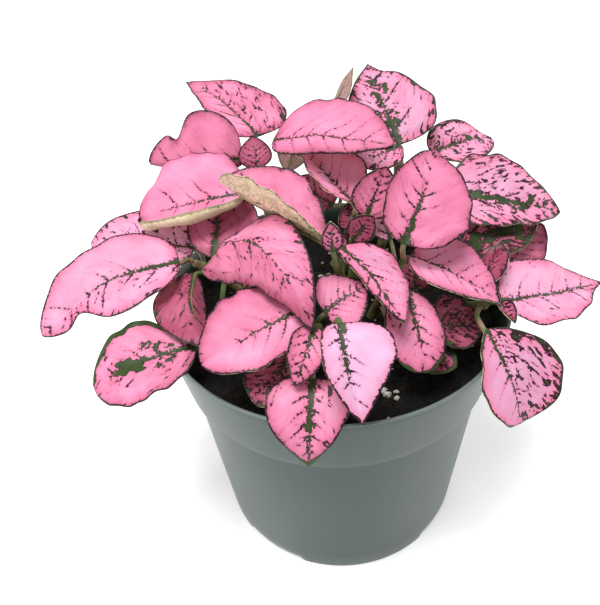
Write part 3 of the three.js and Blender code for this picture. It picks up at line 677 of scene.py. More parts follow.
leaves = dict(
    front=[
        # the deep tone of this leaf, deeper still on its right half, is painted shadow from inner_left_1
        # above it
        dict(at=0.9, base=(-8, -30, 108), tip=(-34, -42, 101), face=(0, -0.4, 1), wide=24, bow=2,
             right=(-3, 0), blunt=0.62, uneven=0.15, look="bright",
             marks=dict(tone=(0.42, 0.68), specks=0.0, veins=0.25, reach=0.62)),
        dict(at=0.85, base=(-4.8, -35.6, 107), tip=(-10.2, -47.8, 98.5), face=(0.1, -0.6, 0.8), wide=10,
             bow=2.5, look="rose", marks=dict(tone=0.5, specks=0.1, veins=0.9, reach=0.95)),
        dict(at=0.7, base=(-12, -34, 95), tip=(-20, -49, 93), face=(0, -0.4, 0.9), wide=17, blunt=0.65,
             look="shaded", marks=dict(specks=0.9, patch=0.7, rim=(1.0, 0.2))),
        dict(at=0.75, base=(-6, -43, 96), tip=(-7.7, -57.5, 79), face=(0, -0.6, 0.8), wide=21, bow=5,
             narrow=0.38, blunt=1, uneven=0.1, look="bright",
             marks=dict(tone=0.48, specks=0.4, patch=0.62, reach=1.0, rib=1.1, tipRim=1.3, veins=0.6)),
        dict(at=0.95, base=(1.5, -41, 113), tip=(5.7, -59, 97), face=(0.1, -0.6, 0.8), wide=18, bow=2,
             sway=1, narrow=0.38, blunt=0.95, uneven=-0.37, look="pale",
             marks=dict(tone=0.0, specks=0.03, reach=0.62, rib=0.95, veins=0.15)),
        dict(at=0.9, base=(-2.5, -30.5, 107), tip=(9, -25, 111.5), face=(0, -0.4, 0.9), wide=17, bow=1,
             narrow=0.4, look="rose", marks=dict(tone=0.45, specks=0.1, veins=0.55, reach=1.0, rib=0.7)),
    ],
    middle=[
        dict(at=1, base=(-1, -17.5, 120), tip=(-31, 3.5, 128), face=(0, 0, 1), wide=27, left=(60, 10),
             right=(27, 0), narrow=0.95, look="bright",
             marks=dict(tone=0.62, specks=0.3, patch=(0.8, 0.0), veins=0.4, reach=0.5, rib=0.5)),
        dict(at=0.85, base=(2.5, -17, 118.5), tip=(17.5, -35, 107), face=(0.3, -0.4, 0.9), wide=17, bow=2,
             left=(-17, 0), narrow=0.35, blunt=0.65, uneven=-0.6, look="rose",
             marks=dict(tone=0.35, specks=0.5, veins=0.4, reach=0.9, rib=0.75)),
        dict(at=0.98, base=(0.5, -24.5, 122), tip=(0, -23, 130), face=(0, -0.9, 0.3), wide=5.5,
             look="rose", marks=dict(specks=0.15)),
        dict(at=0.7, base=(0, -22.5, 103.5), tip=(-1, -19.5, 111.5), face=(0, -0.8, 0.6), wide=11,
             look="shaded"),
    ],
    left=[
        dict(at=1, base=(-46, -1, 104), tip=(-85, -20.5, 93), face=(-0.1, -0.3, 1), wide=26, bow=4,
             sway=3, twist=22, narrow=0.38, blunt=0.65, uneven=0.08, waist=(-1, 0.74, 0.6), look="bright",
             marks=dict(tone=0.3, specks=(0.5, 0.12), veins=(1.0, 0.3), rib=1.0)),
        dict(at=0.9, base=(-44, 12, 100), tip=(-80, 18, 100), face=(0, -0.4, 1), wide=26, bow=2,
             blunt=0.65, look="green", marks=dict(tone=0.15, specks=0.65, patch=0.45, rib=0.6)),
        # the deepest tone of this leaf is painted shade, as the blade turns away from the light
        dict(at=0.85, base=(-42.5, -1, 100), tip=(-35.5, -28.5, 94), face=(-0.3, -0.6, 0.8), wide=18,
             bow=2, sway=1.5, left=(-75, 0), right=(15, 0), blunt=0.95, uneven=0.3, look="rose",
             marks=dict(tone=1.1, specks=0.6, veins=0.2)),
        dict(at=0.7, base=(-39.5, -25, 91), tip=(-69, -33, 85), face=(-0.1, -0.25, 1), wide=27, bow=3,
             narrow=0.6, blunt=0.55, look="green",
             marks=dict(tone=0.5, specks=0.4, patch=0.95, rim=(0.2, 1.8))),
    ],
    inner_left=[
        # the deeper tone of this leaf's right half is painted shade
        dict(at=1, base=(-38, -7.5, 106), tip=(-5.5, -38.5, 108.5), face=(0, -0.35, 1), wide=25, bow=14,
             sway=-7, left=(-14, 28), right=(-45, -30), look="pale",
             marks=dict(tone=(0.5, 0.84), specks=0.5, veins=0.6, reach=0.8, rib=0.45)),
        dict(at=0.93, base=(-36.5, 3.5, 102), tip=(-35, 24, 114), face=(0, -0.6, 0.8), wide=23.5,
             blunt=0.6, uneven=0.18, look="rose",
             marks=dict(tone=(0.75, 1.05), specks=0.3, veins=0.5, reach=1.0, rib=1.2)),
    ],
    back_left=[
        dict(at=1, base=(-24, 45.5, 122), tip=(-49.7, 67, 134), face=(0, 0, 1), wide=29, bow=1, sway=2.5,
             narrow=0.36, blunt=0.9, uneven=0.22, look="bright",
             marks=dict(tone=0.55, specks=(0.2, 0.75), patch=0.3, reach=0.8)),
        dict(at=0.92, base=(-28.3, 35, 119), tip=(-61.5, 42.5, 115.5), face=(0, -0.8, 0.6), wide=21.6,
             bow=1, wave=1, left=(-60, 0), narrow=0.4, blunt=0.65, uneven=0.5, waist=(1, 0.7, 0.4),
             look="bright", marks=dict(tone=0.68, specks=0.15, veins=0.3)),
        dict(at=0.9, base=(-25.5, 14.5, 118), tip=(-61.5, 18, 109), face=(-0.1, -0.45, 1), wide=37.5,
             bow=1, left=(-25, 190), right=(2, -30), blunt=0.4, uneven=0.26, look="pale",
             marks=dict(tone=0.5, specks=0.02, veins=0.1, reach=0.75, rib=0.4)),
        dict(at=0.93, base=(-23.3, 30, 118), tip=(-24, 35, 127), face=(0, -0.9, 0.4), wide=11,
             look="rose", marks=dict(tone=0.75, specks=0.0, veins=0.0, rib=0.2)),
    ],
    centre=[
        dict(at=1, base=(7, 5.5, 118), tip=(-9, 23.5, 128), face=(0.1, -0.4, 1), wide=19, left=(30, 20),
             right=(20, 0), uneven=0.15, look="rose",
             marks=dict(tone=0.42, specks=(0.55, 0.12), veins=0.3)),
        dict(at=0.97, base=(10, -4, 119), tip=(16, 2, 131), face=(0, -0.9, 0.4), wide=13, look="rose",
             marks=dict(tone=0.65, specks=0.3)),
        dict(at=0.9, base=(6, -6, 113), tip=(12, -5, 120), face=(0, -0.8, 0.6), wide=8, look="shaded"),
        dict(at=0.88, base=(8, 4, 111), tip=(4.5, 6.5, 117), face=(0, -0.6, 0.8), wide=10, look="shaded"),
        dict(at=0.6, base=(2.5, 0, 105), tip=(1, 1.5, 110), face=(0, -0.6, 0.8), wide=7, look="green"),
    ],
    right=[
        dict(at=1, base=(19, -18, 119), tip=(29.5, 4.5, 134), face=(0.1, -0.75, 0.65), wide=23.5, bow=2,
             narrow=0.45, blunt=0.7, uneven=0.2, look="bright",
             marks=dict(tone=0.58, specks=0.25, veins=0.6, reach=0.55, rib=1.2)),
        dict(at=0.8, base=(21.5, -12, 111), tip=(45.5, -21.5, 101), face=(0, -0.3, 1), wide=21, bow=2,
             right=(25, 0), blunt=0.9, look="bright",
             marks=dict(tone=0.45, specks=0.12, veins=0.1, reach=0.9, rib=0.4)),
        dict(at=0.8, base=(20, -20, 105), tip=(24, -38, 91.5), face=(0.1, -0.6, 0.8), wide=16, bow=1,
             blunt=0.5, uneven=0.12, look="rose", marks=dict(tone=0.5, veins=0.3, rib=1.1, tipRim=1.0)),
        dict(at=0.9, base=(17, -4, 111), tip=(13, 6, 121), face=(0, -0.8, 0.6), wide=10, look="rose",
             marks=dict(tone=0.0, specks=0.3)),
        dict(at=0.6, base=(24, -11, 98), tip=(25, -2, 104), face=(0, -0.7, 0.7), wide=11, look="shaded"),
        dict(at=0.45, base=(22, -24, 88), tip=(33, -32, 87), face=(0, -0.3, 1), wide=12, blunt=0.6,
             look="shaded", marks=dict(tone=1.0, specks=0.9, patch=0.8, rim=1.0)),
    ],
    far_right=[
        dict(at=0.97, base=(47.5, -16, 97), tip=(83.5, 2.5, 87), face=(0, -0.4, 1), wide=23.5, bow=1,
             sway=1, blunt=1, uneven=-0.12, waist=(1, 0.88, 0.35), look="bright",
             marks=dict(tone=0.28, specks=0.3, reach=0.95, rib=0.8)),
        dict(at=0.95, base=(40, -30, 99), tip=(49, -43.5, 76.6), face=(0.3, -0.6, 0.75), wide=24, bow=3,
             left=(0, 40), right=(0, 20), narrow=0.7, blunt=0.5, uneven=-0.25, look="green",
             marks=dict(tone=0.25, specks=(0.9, 0.02), patch=0.15, reach=0.9, rib=0.7)),
        dict(at=1, base=(46.5, -18, 98), tip=(48.5, -27, 98), face=(0, -0.3, 1), wide=6, left=(40, 0),
             right=(40, 0), look="rose"),
        dict(at=0.5, base=(28, -22, 94), tip=(42.5, -19.5, 91), face=(0, -0.4, 1), wide=18, uneven=-0.1,
             look="shaded", marks=dict(tone=0.9, specks=0.85, veins=0.9)),
        dict(at=0.8, base=(41, -14, 99), tip=(51, 1, 104), face=(0, -0.5, 0.9), wide=12, left=(50, 0),
             right=(50, 0), look="shaded"),
    ],
    right_back=[
        dict(at=1, base=(36, 15.5, 113.5), tip=(71, 14.5, 106), face=(0.1, -0.5, 1), wide=26, bow=2,
             narrow=0.42, blunt=0.75, uneven=-0.22, look="green",
             marks=dict(tone=0.28, specks=0.85, patch=0.8, reach=0.9, rib=1.5, rim=(0.5, 0.2))),
        dict(at=0.9, base=(39.5, 2.5, 103), tip=(63.5, 11, 104), face=(0, -0.4, 1), wide=18, uneven=-0.15,
             look="green", marks=dict(tone=0.9, specks=1.0, patch=1.3, rim=0.8)),
        dict(at=0.75, base=(53.5, 4.5, 93), tip=(68, 17.5, 100), face=(0, -0.7, 0.7), wide=16,
             look="shaded", marks=dict(tone=0.75, specks=0.0, veins=0.0, rib=0.2)),
    ],
    back_right=[
        dict(at=1, base=(22, 29.5, 124), tip=(14.5, 62.5, 138), face=(0, -0.5, 1), wide=29, bow=2,
             narrow=0.42, blunt=1, uneven=0.08, look="green",
             marks=dict(tone=0.28, specks=0.55, patch=0.85, rib=1.6, reach=0.5, veins=1.1)),
        dict(at=0.9, base=(33.5, 35, 118), tip=(56, 48.5, 116), face=(0, -0.4, 1), wide=20, bow=2,
             blunt=0.7, look="green", marks=dict(tone=0.28, specks=0.8, patch=0.75, rib=0.9)),
        dict(at=0.93, base=(22.5, 27.5, 125), tip=(8.5, 20.5, 122.5), face=(0, -0.5, 0.9), wide=16.5,
             uneven=0.2, look="rose", marks=dict(tone=0.28, specks=0.68, veins=0.3)),
        dict(at=0.78, base=(19, 14, 110), tip=(18, 19, 115), face=(0, 0.8, 0.6), wide=8, look="shaded"),
    ],
    back=[
        dict(at=1, base=(-16.5, 21.5, 131.5), tip=(18, 5, 135.5), face=(0, -0.25, 1), wide=22.5, bow=2.5,
             right=(-15, -30), narrow=0.32, blunt=0.65, uneven=-0.45, look="bright",
             marks=dict(tone=0.55, specks=0.03, veins=-0.5, reach=0.9, rib=0.4)),
        dict(at=0.98, base=(0.5, 37, 130), tip=(9, 49, 142), face=(1, 0.3, -0.4), wide=11, look="rose",
             marks=dict(tone=0.8, specks=0.0)),
        dict(at=0.85, base=(-8, 36, 130), tip=(-14, 32, 115), face=(0.3, 0.9, 0.4), wide=12,
             look="shaded"),
        dict(at=0.66, base=(1, 18, 110), tip=(-12, 30, 113.5), face=(0, -0.6, 0.8), wide=14,
             look="shaded"),
    ],
)
bladeForm = dict(
    narrow=0.52, blunt=0.8,          # how the outline closes at the base and at the tip
    plainHalf=(4, 0),                # fold and curl of a half that has none of its own
    waistReach=0.1,                  # half length of a waist, as a part of the blade
    endHalfWidth=0.3,
    waveTurn=13,                     # radians that the ripple of the margins goes through
    thickness=0.42, marginThickness=0.2,
    veinPairs=6.5,
    veinLean=0.62, veinArch=0.028,   # how far a side vein runs forwards as it crosses the blade
    veinWander=0.5,
    quilting=0.16,                   # mm that the blade swells between its side veins
    groove=0.4, grooveWidth=0.9,     # the furrow over the midrib
    unevenness=0.42,
    ruffle=0.45,
    outlineWander=0.03,
    fullRelief=30,                   # mm long from which a blade has all of its relief
    # number of waves, and their shortest and longest length in mm
    outlineWaves=(4, 5, 16), veinWaves=(3, 8, 16), unevenWaves=(5, 9, 22), ruffleWaves=(3, 7, 13),
    # the grid's stations along it and columns in a half: how many for each mm, fewest and most
    stations=(2.1, 26, 76), columns=(0.62, 7, 18),
    towardsEnds=0.45,                # how far the stations draw together at the ends
    towardsMargin=1.55,              # and the columns at the margin
    curlSteps=10,
)
markForm = dict(
    hidden=-1.5,                     # a half width in mm that leaves nothing of a marking
    fade=1.2,                        # mm that the midrib's dark and a vein lose past their ends
    veinSlots=14,                    # side veins of a half that are told apart
    veinRun=(0.12, 0.75),            # how far a dark vein runs, as a part of the half width
    spurLength=(0.8, 3.2), spurHalf=0.45,
    patchSpread=0.3,                 # how far a green patch spreads, as a part of the width
)
stalkForm = dict(
    radius=0.75, ridgeEnd=0.9, ridgeTip=0.16, sides=10, stalkRings=16, ridgeRings=26,
    joint=0.02,                      # part of the blade at which the stalk meets it
    proud=0.08,                      # mm that stalk and ridge reach above the blade's middle
    insideStem=0.4,                  # where in the stem the stalk begins, as a part of its radius
    pull=0.35,                       # how straight the stalk leaves its stem and meets its blade
)


def halfWidth(leaf, s):
    narrow, blunt = leaf.get("narrow", bladeForm["narrow"]), leaf.get("blunt", bladeForm["blunt"])
    widest = narrow / (narrow + blunt)
    fullest = widest ** narrow * (1 - widest) ** blunt
    return leaf["wide"] / 2 * s ** narrow * (1 - s) ** blunt / fullest


def midrib(leaf, s):
    # place of the midrib at parts s of its length, and its directions along, across and upwards
    s = np.asarray(s, float)[..., None]
    base, tip, face = (np.array(leaf[key], float) for key in ("base", "tip", "face"))
    chord = tip - base
    right = unit(np.cross(chord, face))
    up = unit(np.cross(right, chord))
    bend = up * leaf.get("bow", 0) + right * leaf.get("sway", 0)
    along = unit(chord + bend * 4 * (1 - 2 * s))
    level = unit(right - along * (along @ right)[..., None])
    raised = np.cross(level, along)
    turn = math.radians(leaf.get("twist", 0)) * s
    across = level * np.cos(turn) + raised * np.sin(turn)
    return base + chord * s + bend * 4 * s * (1 - s), along, across, np.cross(across, along)


def widthAt(leaf, s, t):
    # a half's width at each station, with the leaf's own unevenness and waist
    half, place, depth = leaf.get("waist", (1, 0.5, 0))
    notch = np.exp(-((s - place) / bladeForm["waistReach"]) ** 2)[:, None]
    drawnIn = 1 - depth * notch * (np.sign(t) == half)
    return halfWidth(leaf, s)[:, None] * drawnIn * (1 + leaf.get("uneven", 0) * np.sign(t))


def bladeSurface(leaf, s, t, width):
    # middle of the blade at s along and t across (-1 left margin, 1 right), and its normal
    point, along, across, upper = (part[:, None, :] for part in midrib(leaf, s))
    reach = np.abs(t)
    side = np.sign(t)[None, :, None]
    out, lift, angle = (np.zeros((len(s), len(t))) for _ in range(3))
    for half, chosen in (("left", t < 0), ("right", t >= 0)):
        fold, curl = np.radians(leaf.get(half, bladeForm["plainHalf"]))
        step = width[:, chosen] * reach[chosen] / bladeForm["curlSteps"]
        for i in range(bladeForm["curlSteps"]):
            part = reach[chosen] * (i + 0.5) / bladeForm["curlSteps"]
            turn = fold + curl * part ** 2
            out[:, chosen] += step * np.cos(turn)
            lift[:, chosen] += step * np.sin(turn)
        angle[:, chosen] = fold + curl * reach[chosen] ** 2
    wave = leaf.get("wave", 0) * reach ** 2 * np.sin(s[:, None] * bladeForm["waveTurn"] + t)
    middle = point + across * side * out[..., None] + upper * (lift + wave)[..., None]
    normal = upper * np.cos(angle)[..., None] - across * side * np.sin(angle)[..., None]
    return middle, normal


def measureBlade(leaf, rng):
    # the blade as a grid of stations along it and columns across it: for each point its parts of
    # the length and of the half width, and its distances in mm, which relief and markings share
    length = np.linalg.norm(np.subtract(leaf["tip"], leaf["base"]))
    counts = []
    for size, key in ((length, "stations"), (leaf["wide"], "columns")):
        share, fewest, most = bladeForm[key]
        counts.append(int(np.clip(size * share, fewest, most)))
    stationCount, columnCount = counts
    even = np.linspace(0, 1, stationCount + 1)
    drawn = bladeForm["towardsEnds"]
    s = (1 - drawn) * even + drawn * (0.5 - 0.5 * np.cos(math.pi * even))
    reach = 1 - (1 - np.linspace(0, 1, columnCount + 1)) ** bladeForm["towardsMargin"]
    t = np.concatenate([-reach[:0:-1], reach])
    grid = SimpleNamespace(length=length, stations=s, columns=t)
    grid.along, grid.across = np.meshgrid(s, t, indexing="ij")
    grid.reach = np.abs(grid.across)

    wander = [ripples(s * length, 0 * s, rng, *bladeForm["outlineWaves"]) for _ in range(2)]
    wander = np.where(grid.across < 0, wander[0][:, None], wander[1][:, None])
    width = widthAt(leaf, s, t + 1e-9) * (1 + bladeForm["outlineWander"] * wander)
    grid.width = np.maximum(width, bladeForm["endHalfWidth"])

    grid.alongMm = grid.along * length
    grid.acrossMm = grid.across * grid.width
    grid.offAxis = np.abs(grid.acrossMm)
    slant = np.clip(np.gradient(grid.width, s, axis=0) / length, -1.2, 1.2)
    fromSide = (1 - grid.reach) * grid.width / np.sqrt(1 + slant ** 2)
    fromEnd = np.minimum(grid.alongMm, length - grid.alongMm) + 0.05
    grid.marginMm = np.minimum(fromSide, fromEnd)
    grid.spacing = length / bladeForm["veinPairs"]
    forwards = bladeForm["veinLean"] * grid.offAxis + bladeForm["veinArch"] * grid.offAxis ** 2
    astray = ripples(grid.alongMm, grid.acrossMm, rng, *bladeForm["veinWaves"])
    grid.veinMm = grid.alongMm - forwards + bladeForm["veinWander"] * astray
    return grid


def bladeRelief(grid, rng):
    # swellings between the side veins, the midrib's furrow, an unevenness and a ruffled margin
    inside = ease(0.0, 2.2, grid.offAxis) * ease(0.0, 2.5, grid.marginMm)
    swelling = inside * (np.sin(math.pi * grid.veinMm / grid.spacing) ** 2 - 0.5)
    furrow = np.exp(-(grid.offAxis / bladeForm["grooveWidth"]) ** 2) * ease(1.0, 0.75, grid.along)
    bumps = ripples(grid.alongMm, grid.acrossMm, rng, *bladeForm["unevenWaves"])
    ruffles = ripples(grid.alongMm, grid.acrossMm * 0.2, rng, *bladeForm["ruffleWaves"])
    relief = bladeForm["quilting"] * swelling - bladeForm["groove"] * furrow
    relief += bladeForm["unevenness"] * bumps * ease(0, 4, grid.alongMm)
    relief += bladeForm["ruffle"] * grid.reach ** 3 * ruffles * ease(0, 5, grid.alongMm)
    return relief * min(1.0, grid.length / bladeForm["fullRelief"])


def sheetFaces(rows, columns):
    # quads of a sheet's upper side and of its under side, and of the edge all round between them
    count = rows * columns
    faces = []
    for row in range(rows - 1):
        for column in range(columns - 1):
            a = row * columns + column
            quad = (a, a + 1, a + columns + 1, a + columns)
            faces.append(quad)
            faces.append(tuple(count + corner for corner in quad[::-1]))
    sheet = np.arange(count).reshape(rows, columns)
    sides = (sheet[:, 0], sheet[-1, 1:], sheet[-2::-1, -1], sheet[0, -2:0:-1])
    outline = np.concatenate(sides).tolist()
    for a, b in zip(outline, outline[1:] + outline[:1]):
        faces.append((b, count + b, count + a, a))
    return faces


def valueFor(leaf, mark, t):
    # a mark's amount, which may differ between the left half and the right half
    amount = leaf.get("marks", {}).get(mark, looks[leaf["look"]].get(mark, 0))
    if isinstance(amount, tuple):
        return amount[0] + (amount[1] - amount[0]) * ease(-0.08, 0.08, t)
    return np.full(t.shape, float(amount))


def markBlade(leaf, number, grid, rng):
    # for each point of the blade, where it lies and how much of each marking it has
    tone, specks, patch, veins, rib, ribEnd, rim = (
        valueFor(leaf, mark, grid.across)
        for mark in ("tone", "specks", "patch", "veins", "rib", "reach", "rim"))
    hidden, fade, slots = (markForm[key] for key in ("hidden", "fade", "veinSlots"))
    ribMm = rib * np.clip(1 - grid.along / np.maximum(ribEnd, 0.01), 0, 1) ** 0.75
    ribMm += 0.3 * np.exp(-grid.alongMm / 1.5) - fade * ease(0, 0.12, grid.along - ribEnd)

    # each side vein is dark for a length of its own, or not at all
    order = np.clip(np.round(grid.veinMm / grid.spacing).astype(int) + 2, 0, slots - 1)
    half = (grid.across > 0).astype(int)
    strength, run, spur = (
        rng.uniform(*span, (2, slots))[half, order]
        for span in ((0, 1), markForm["veinRun"], markForm["spurLength"]))
    darkness = np.clip(veins * 1.15 - 0.85 + 0.85 * strength, -1, 1)
    past = ease(0.5, 1.2, grid.offAxis / (run * leaf["wide"] / 2))
    veinHalf = np.where(darkness > 0, 0.1 + 0.3 * darkness, hidden) - fade * past
    # and where the midrib is dark it has a short spur at each side vein
    spurHalf = markForm["spurHalf"] * np.minimum(rib, 1) * (1 - grid.offAxis / spur)
    spurHalf += hidden * ease(0, 0.1, grid.along - ribEnd)
    veinHalf = np.maximum(veinHalf, spurHalf)

    spread = np.exp(-(grid.offAxis / (markForm["patchSpread"] * leaf["wide"])) ** 2)
    patchHere = patch * spread * ease(-0.15, 0.25, grid.along) * ease(1.1, 0.7, grid.along)
    rimMm = np.where(rim > 0, rim, hidden)
    tipRim = leaf.get("marks", {}).get("tipRim", 0)
    if tipRim:
        atTip = tipRim * ease(0.72, 0.92, grid.along) + hidden * (1 - ease(0.6, 0.8, grid.along))
        rimMm = np.maximum(rimMm, atTip)

    def both(*values):
        # the same for the upper side and for the under side
        flat = np.stack([np.broadcast_to(value, half.shape).ravel() for value in values], axis=1)
        return np.concatenate([flat, flat])

    return {
        "blade": both(grid.alongMm, grid.acrossMm, 31.7 * number),
        "lines": both(grid.veinMm, grid.marginMm, grid.spacing),
        "tint": both(tone, specks, patchHere),
        "dark": both(ribMm, veinHalf, rimMm),
        "side": np.repeat([1.0, 0.0], half.size),
    }


def leafStalk(leaf, path, grid, relief):
    # stalk from the middle of the stem, going on as the ridge under the midrib
    joint, ridgeEnd, proud = (stalkForm[key] for key in ("joint", "ridgeEnd", "proud"))
    node, stemAlong = stemAt(path, leaf["at"])
    basePoint, baseAlong, baseAcross, baseUpper = (part[0] for part in midrib(leaf, [joint]))
    leaving = stemAlong
    if leaf["at"] < 1:
        leaving = basePoint - node
        leaving = leaving - stemAlong * leaving.dot(stemAlong)
    leaving = unit(leaving)
    start = node + leaving * (stemRadius(leaf["at"]) * stalkForm["insideStem"])
    pull = np.linalg.norm(basePoint - start) * stalkForm["pull"]
    knots = [start, start + leaving * pull, basePoint - baseAlong * pull, basePoint]
    w = np.linspace(0, 1, stalkForm["stalkRings"])[:, None]
    stalk = (knots[0] * (1 - w) ** 3 + 3 * knots[1] * w * (1 - w) ** 2
             + 3 * knots[2] * w ** 2 * (1 - w) + knots[3] * w ** 3)

    radius = stalkForm["radius"] * min(1.0, 0.55 + leaf["wide"] / 45)
    furrow = partial(np.interp, xp=grid.stations, fp=relief[:, len(grid.columns) // 2])
    stalk = stalk + baseUpper * (furrow(joint) - radius + proud) * ease(0.3, 1.0, w)
    ridgeS = np.linspace(joint, ridgeEnd, stalkForm["ridgeRings"])[1:]
    thinning = ease(-0.25, 1.0, (ridgeS - joint) / (ridgeEnd - joint))
    ridgeRadius = radius + (stalkForm["ridgeTip"] - radius) * thinning
    ridge, _, _, ridgeUpper = midrib(leaf, ridgeS)
    ridge = ridge + ridgeUpper * (furrow(ridgeS) - ridgeRadius + proud)[:, None]
    stalkRadius = radius * (1 + 0.25 * np.exp(-9 * w[:, 0]))
    return tube(np.vstack([stalk, ridge]), np.concatenate([stalkRadius, ridgeRadius]),
                stalkForm["sides"], baseAcross + 1e-3 * baseUpper)


def growLeaf(name, leaf, path, number, skins):
    rng = np.random.default_rng(400 + number)
    grid = measureBlade(leaf, rng)
    relief = bladeRelief(grid, rng)
    layers = markBlade(leaf, number, grid, rng)
    middle, normal = bladeSurface(leaf, grid.stations, grid.columns, grid.width)
    middle = middle + normal * relief[..., None]
    margin, full = bladeForm["marginThickness"], bladeForm["thickness"]
    halfThick = normal * (margin + (full - margin) * (1 - grid.reach ** 5))[..., None] / 2
    points = [*(middle + halfThick).reshape(-1, 3), *(middle - halfThick).reshape(-1, 3)]
    faces = sheetFaces(*grid.reach.shape)
    bladePoints, bladeFaces = len(points), len(faces)
    joinPart(points, faces, *leafStalk(leaf, path, grid, relief))
    for layer, values in layers.items():
        bare = np.zeros((len(points) - bladePoints, *values.shape[1:]))
        layers[layer] = np.concatenate([values, bare])
    which = [0] * bladeFaces + [1] * (len(faces) - bladeFaces)
    addPiece(f"{name}_grown", points, faces, skins, name, which, layers)


def bladeField(add):
    # what the mesh says of a place on the blade, and noises in mm: torn edges of about 1 mm,
    # streaks along the side veins, clumps of 3 mm and clouds of 9 mm
    blade, lines, tint, dark = (
        add("Attribute", out=1, attribute_name=layer) for layer in ("blade", "lines", "tint", "dark"))
    on = SimpleNamespace(blade=blade)
    _, on.across, seed = add("SeparateXYZ", {0: blade}).node.outputs
    on.vein, on.margin, on.spacing = add("SeparateXYZ", {0: lines}).node.outputs
    on.tone, on.specks, on.patch = add("SeparateXYZ", {0: tint}).node.outputs
    on.ribHalf, on.veinHalf, on.rim = add("SeparateXYZ", {0: dark}).node.outputs
    on.torn = add("TexNoise", {"Vector": blade, "Scale": 1.25, "Detail": 3.0, "Roughness": 0.62})
    on.tornMm = add("Math", {0: on.torn, 1: 2.6, 2: -1.3}, operation="MULTIPLY_ADD")
    acrossLong = add("Math", {0: on.across, 1: 1.15}, operation="MULTIPLY")
    along = add("CombineXYZ", {0: on.vein, 1: acrossLong, 2: seed})
    on.streak = add("TexNoise", {
        "Vector": along, "Scale": 0.48, "Detail": 2.5, "Roughness": 0.5, "Distortion": 0.5,
    })
    on.clump = add("TexNoise", {"Vector": blade, "Scale": 0.3, "Detail": 3.5, "Roughness": 0.6})
    on.dash = add("TexNoise", {"Vector": blade, "Scale": 0.5, "Detail": 1.0})
    on.cloud = add("TexNoise", {"Vector": blade, "Scale": 0.11, "Detail": 2.0})
    return on


def markDepths(add, on):
    # how many mm inside each kind of marking a place lies
    offAxis = add("Math", {0: on.across}, operation="ABSOLUTE")
    ribEdge = add("Math", {0: on.tornMm, 1: 1.5, 2: on.ribHalf}, operation="MULTIPLY_ADD")
    rib = add("Math", {0: ribEdge, 1: offAxis}, operation="SUBTRACT")
    halfSpacing = add("Math", {0: on.spacing, 1: 0.5}, operation="MULTIPLY")
    on.fromVein = add("Math", {0: on.vein, 1: halfSpacing}, operation="PINGPONG")
    veinEdge = add("Math", {0: on.tornMm, 1: 1.0, 2: on.veinHalf}, operation="MULTIPLY_ADD")
    vein = add("Math", {0: on.fromVein, 1: -0.85, 2: veinEdge}, operation="MULTIPLY_ADD")
    speckLimit = add("MapRange", {0: on.specks, 3: 0.79, 4: 0.54})
    fringe = add("MapRange", {0: on.margin, 1: 0.3, 2: 2.8, 3: 0.09, 4: 0.0})
    fringed = add("Math", {0: on.streak, 1: fringe}, operation="ADD")
    speckOver = add("Math", {0: fringed, 1: speckLimit}, operation="SUBTRACT")
    speckTorn = add("Math", {0: on.tornMm, 1: 0.45}, operation="MULTIPLY")
    speck = add("Math", {0: speckOver, 1: 5.0, 2: speckTorn}, operation="MULTIPLY_ADD")
    patchLimit = add("MapRange", {0: on.patch, 3: 0.88, 4: 0.44})
    patchOver = add("Math", {0: on.clump, 1: patchLimit}, operation="SUBTRACT")
    patch = add("Math", {0: patchOver, 1: 8.0}, operation="MULTIPLY")
    clumpMm = add("Math", {0: on.clump, 1: 3.0, 2: -1.5}, operation="MULTIPLY_ADD")
    rimEdge = add("Math", {0: clumpMm, 1: on.rim}, operation="ADD")
    rim = add("Math", {0: rimEdge, 1: on.margin}, operation="SUBTRACT")
    lineEdge = add("Math", {0: on.tornMm, 1: 0.7, 2: 0.5}, operation="MULTIPLY_ADD")
    line = add("Math", {0: lineEdge, 1: on.margin}, operation="SUBTRACT")

    # the green markings, and then the small maroon ones as well
    green = rib
    for inside in (patch, rim):
        green = add("Math", {0: green, 1: inside}, operation="MAXIMUM")
    on.depth = green
    for inside in (vein, speck, line):
        on.depth = add("Math", {0: on.depth, 1: inside}, operation="MAXIMUM")
    on.marked = add("MapRange", {0: on.depth, 1: -0.07, 2: 0.07}, interpolation_type="SMOOTHSTEP")
    speckCore = add("Math", {0: speck, 1: 0.35}, operation="SUBTRACT")
    core = add("Math", {0: green, 1: speckCore}, operation="MAXIMUM")
    on.greenness = add("MapRange", {0: core, 1: 0.05, 2: 0.55})


def upperColour(add, on):
    # pink, paler in the middle of the blade, deeper towards the margin and beside the markings, and dusky
    # at the deepest tones, which on leaves in shade is painted shade
    fromMargin = add("MapRange", {0: on.margin, 1: 0.0, 2: 4.5, 3: 0.3, 4: 0.0},
                     interpolation_type="SMOOTHSTEP")
    halo = add("MapRange", {0: on.depth, 1: -0.9, 2: 0.0, 3: 0.0, 4: 0.22})
    clouded = add("Math", {0: on.cloud, 1: 0.6, 2: -0.3}, operation="MULTIPLY_ADD")
    blush = add("MapRange", {0: on.fromVein, 1: 0.0, 2: 0.9, 3: 0.03, 4: 0.0})
    pinkness = on.tone
    for more in (fromMargin, halo, clouded, blush):
        pinkness = add("Math", {0: pinkness, 1: more}, operation="ADD")
    pink = "#E6B2D3"
    for start, end, code in ((0.0, 0.3, "#DE9CBE"), (0.3, 0.65, "#E27EA3"), (0.65, 1.2, "#A54A66")):
        reached = add("MapRange", {0: pinkness, 1: start, 2: end})
        pink = add("Mix", {0: reached, 6: pink, 7: code}, **mixColours)
    green = add("Mix", {0: on.cloud, 6: "#15281B", 7: "#435C23"}, **mixColours)
    mark = add("Mix", {0: on.greenness, 6: "#2E1220", 7: green}, **mixColours)
    return add("Mix", {0: on.marked, 6: pink, 7: mark}, **mixColours)


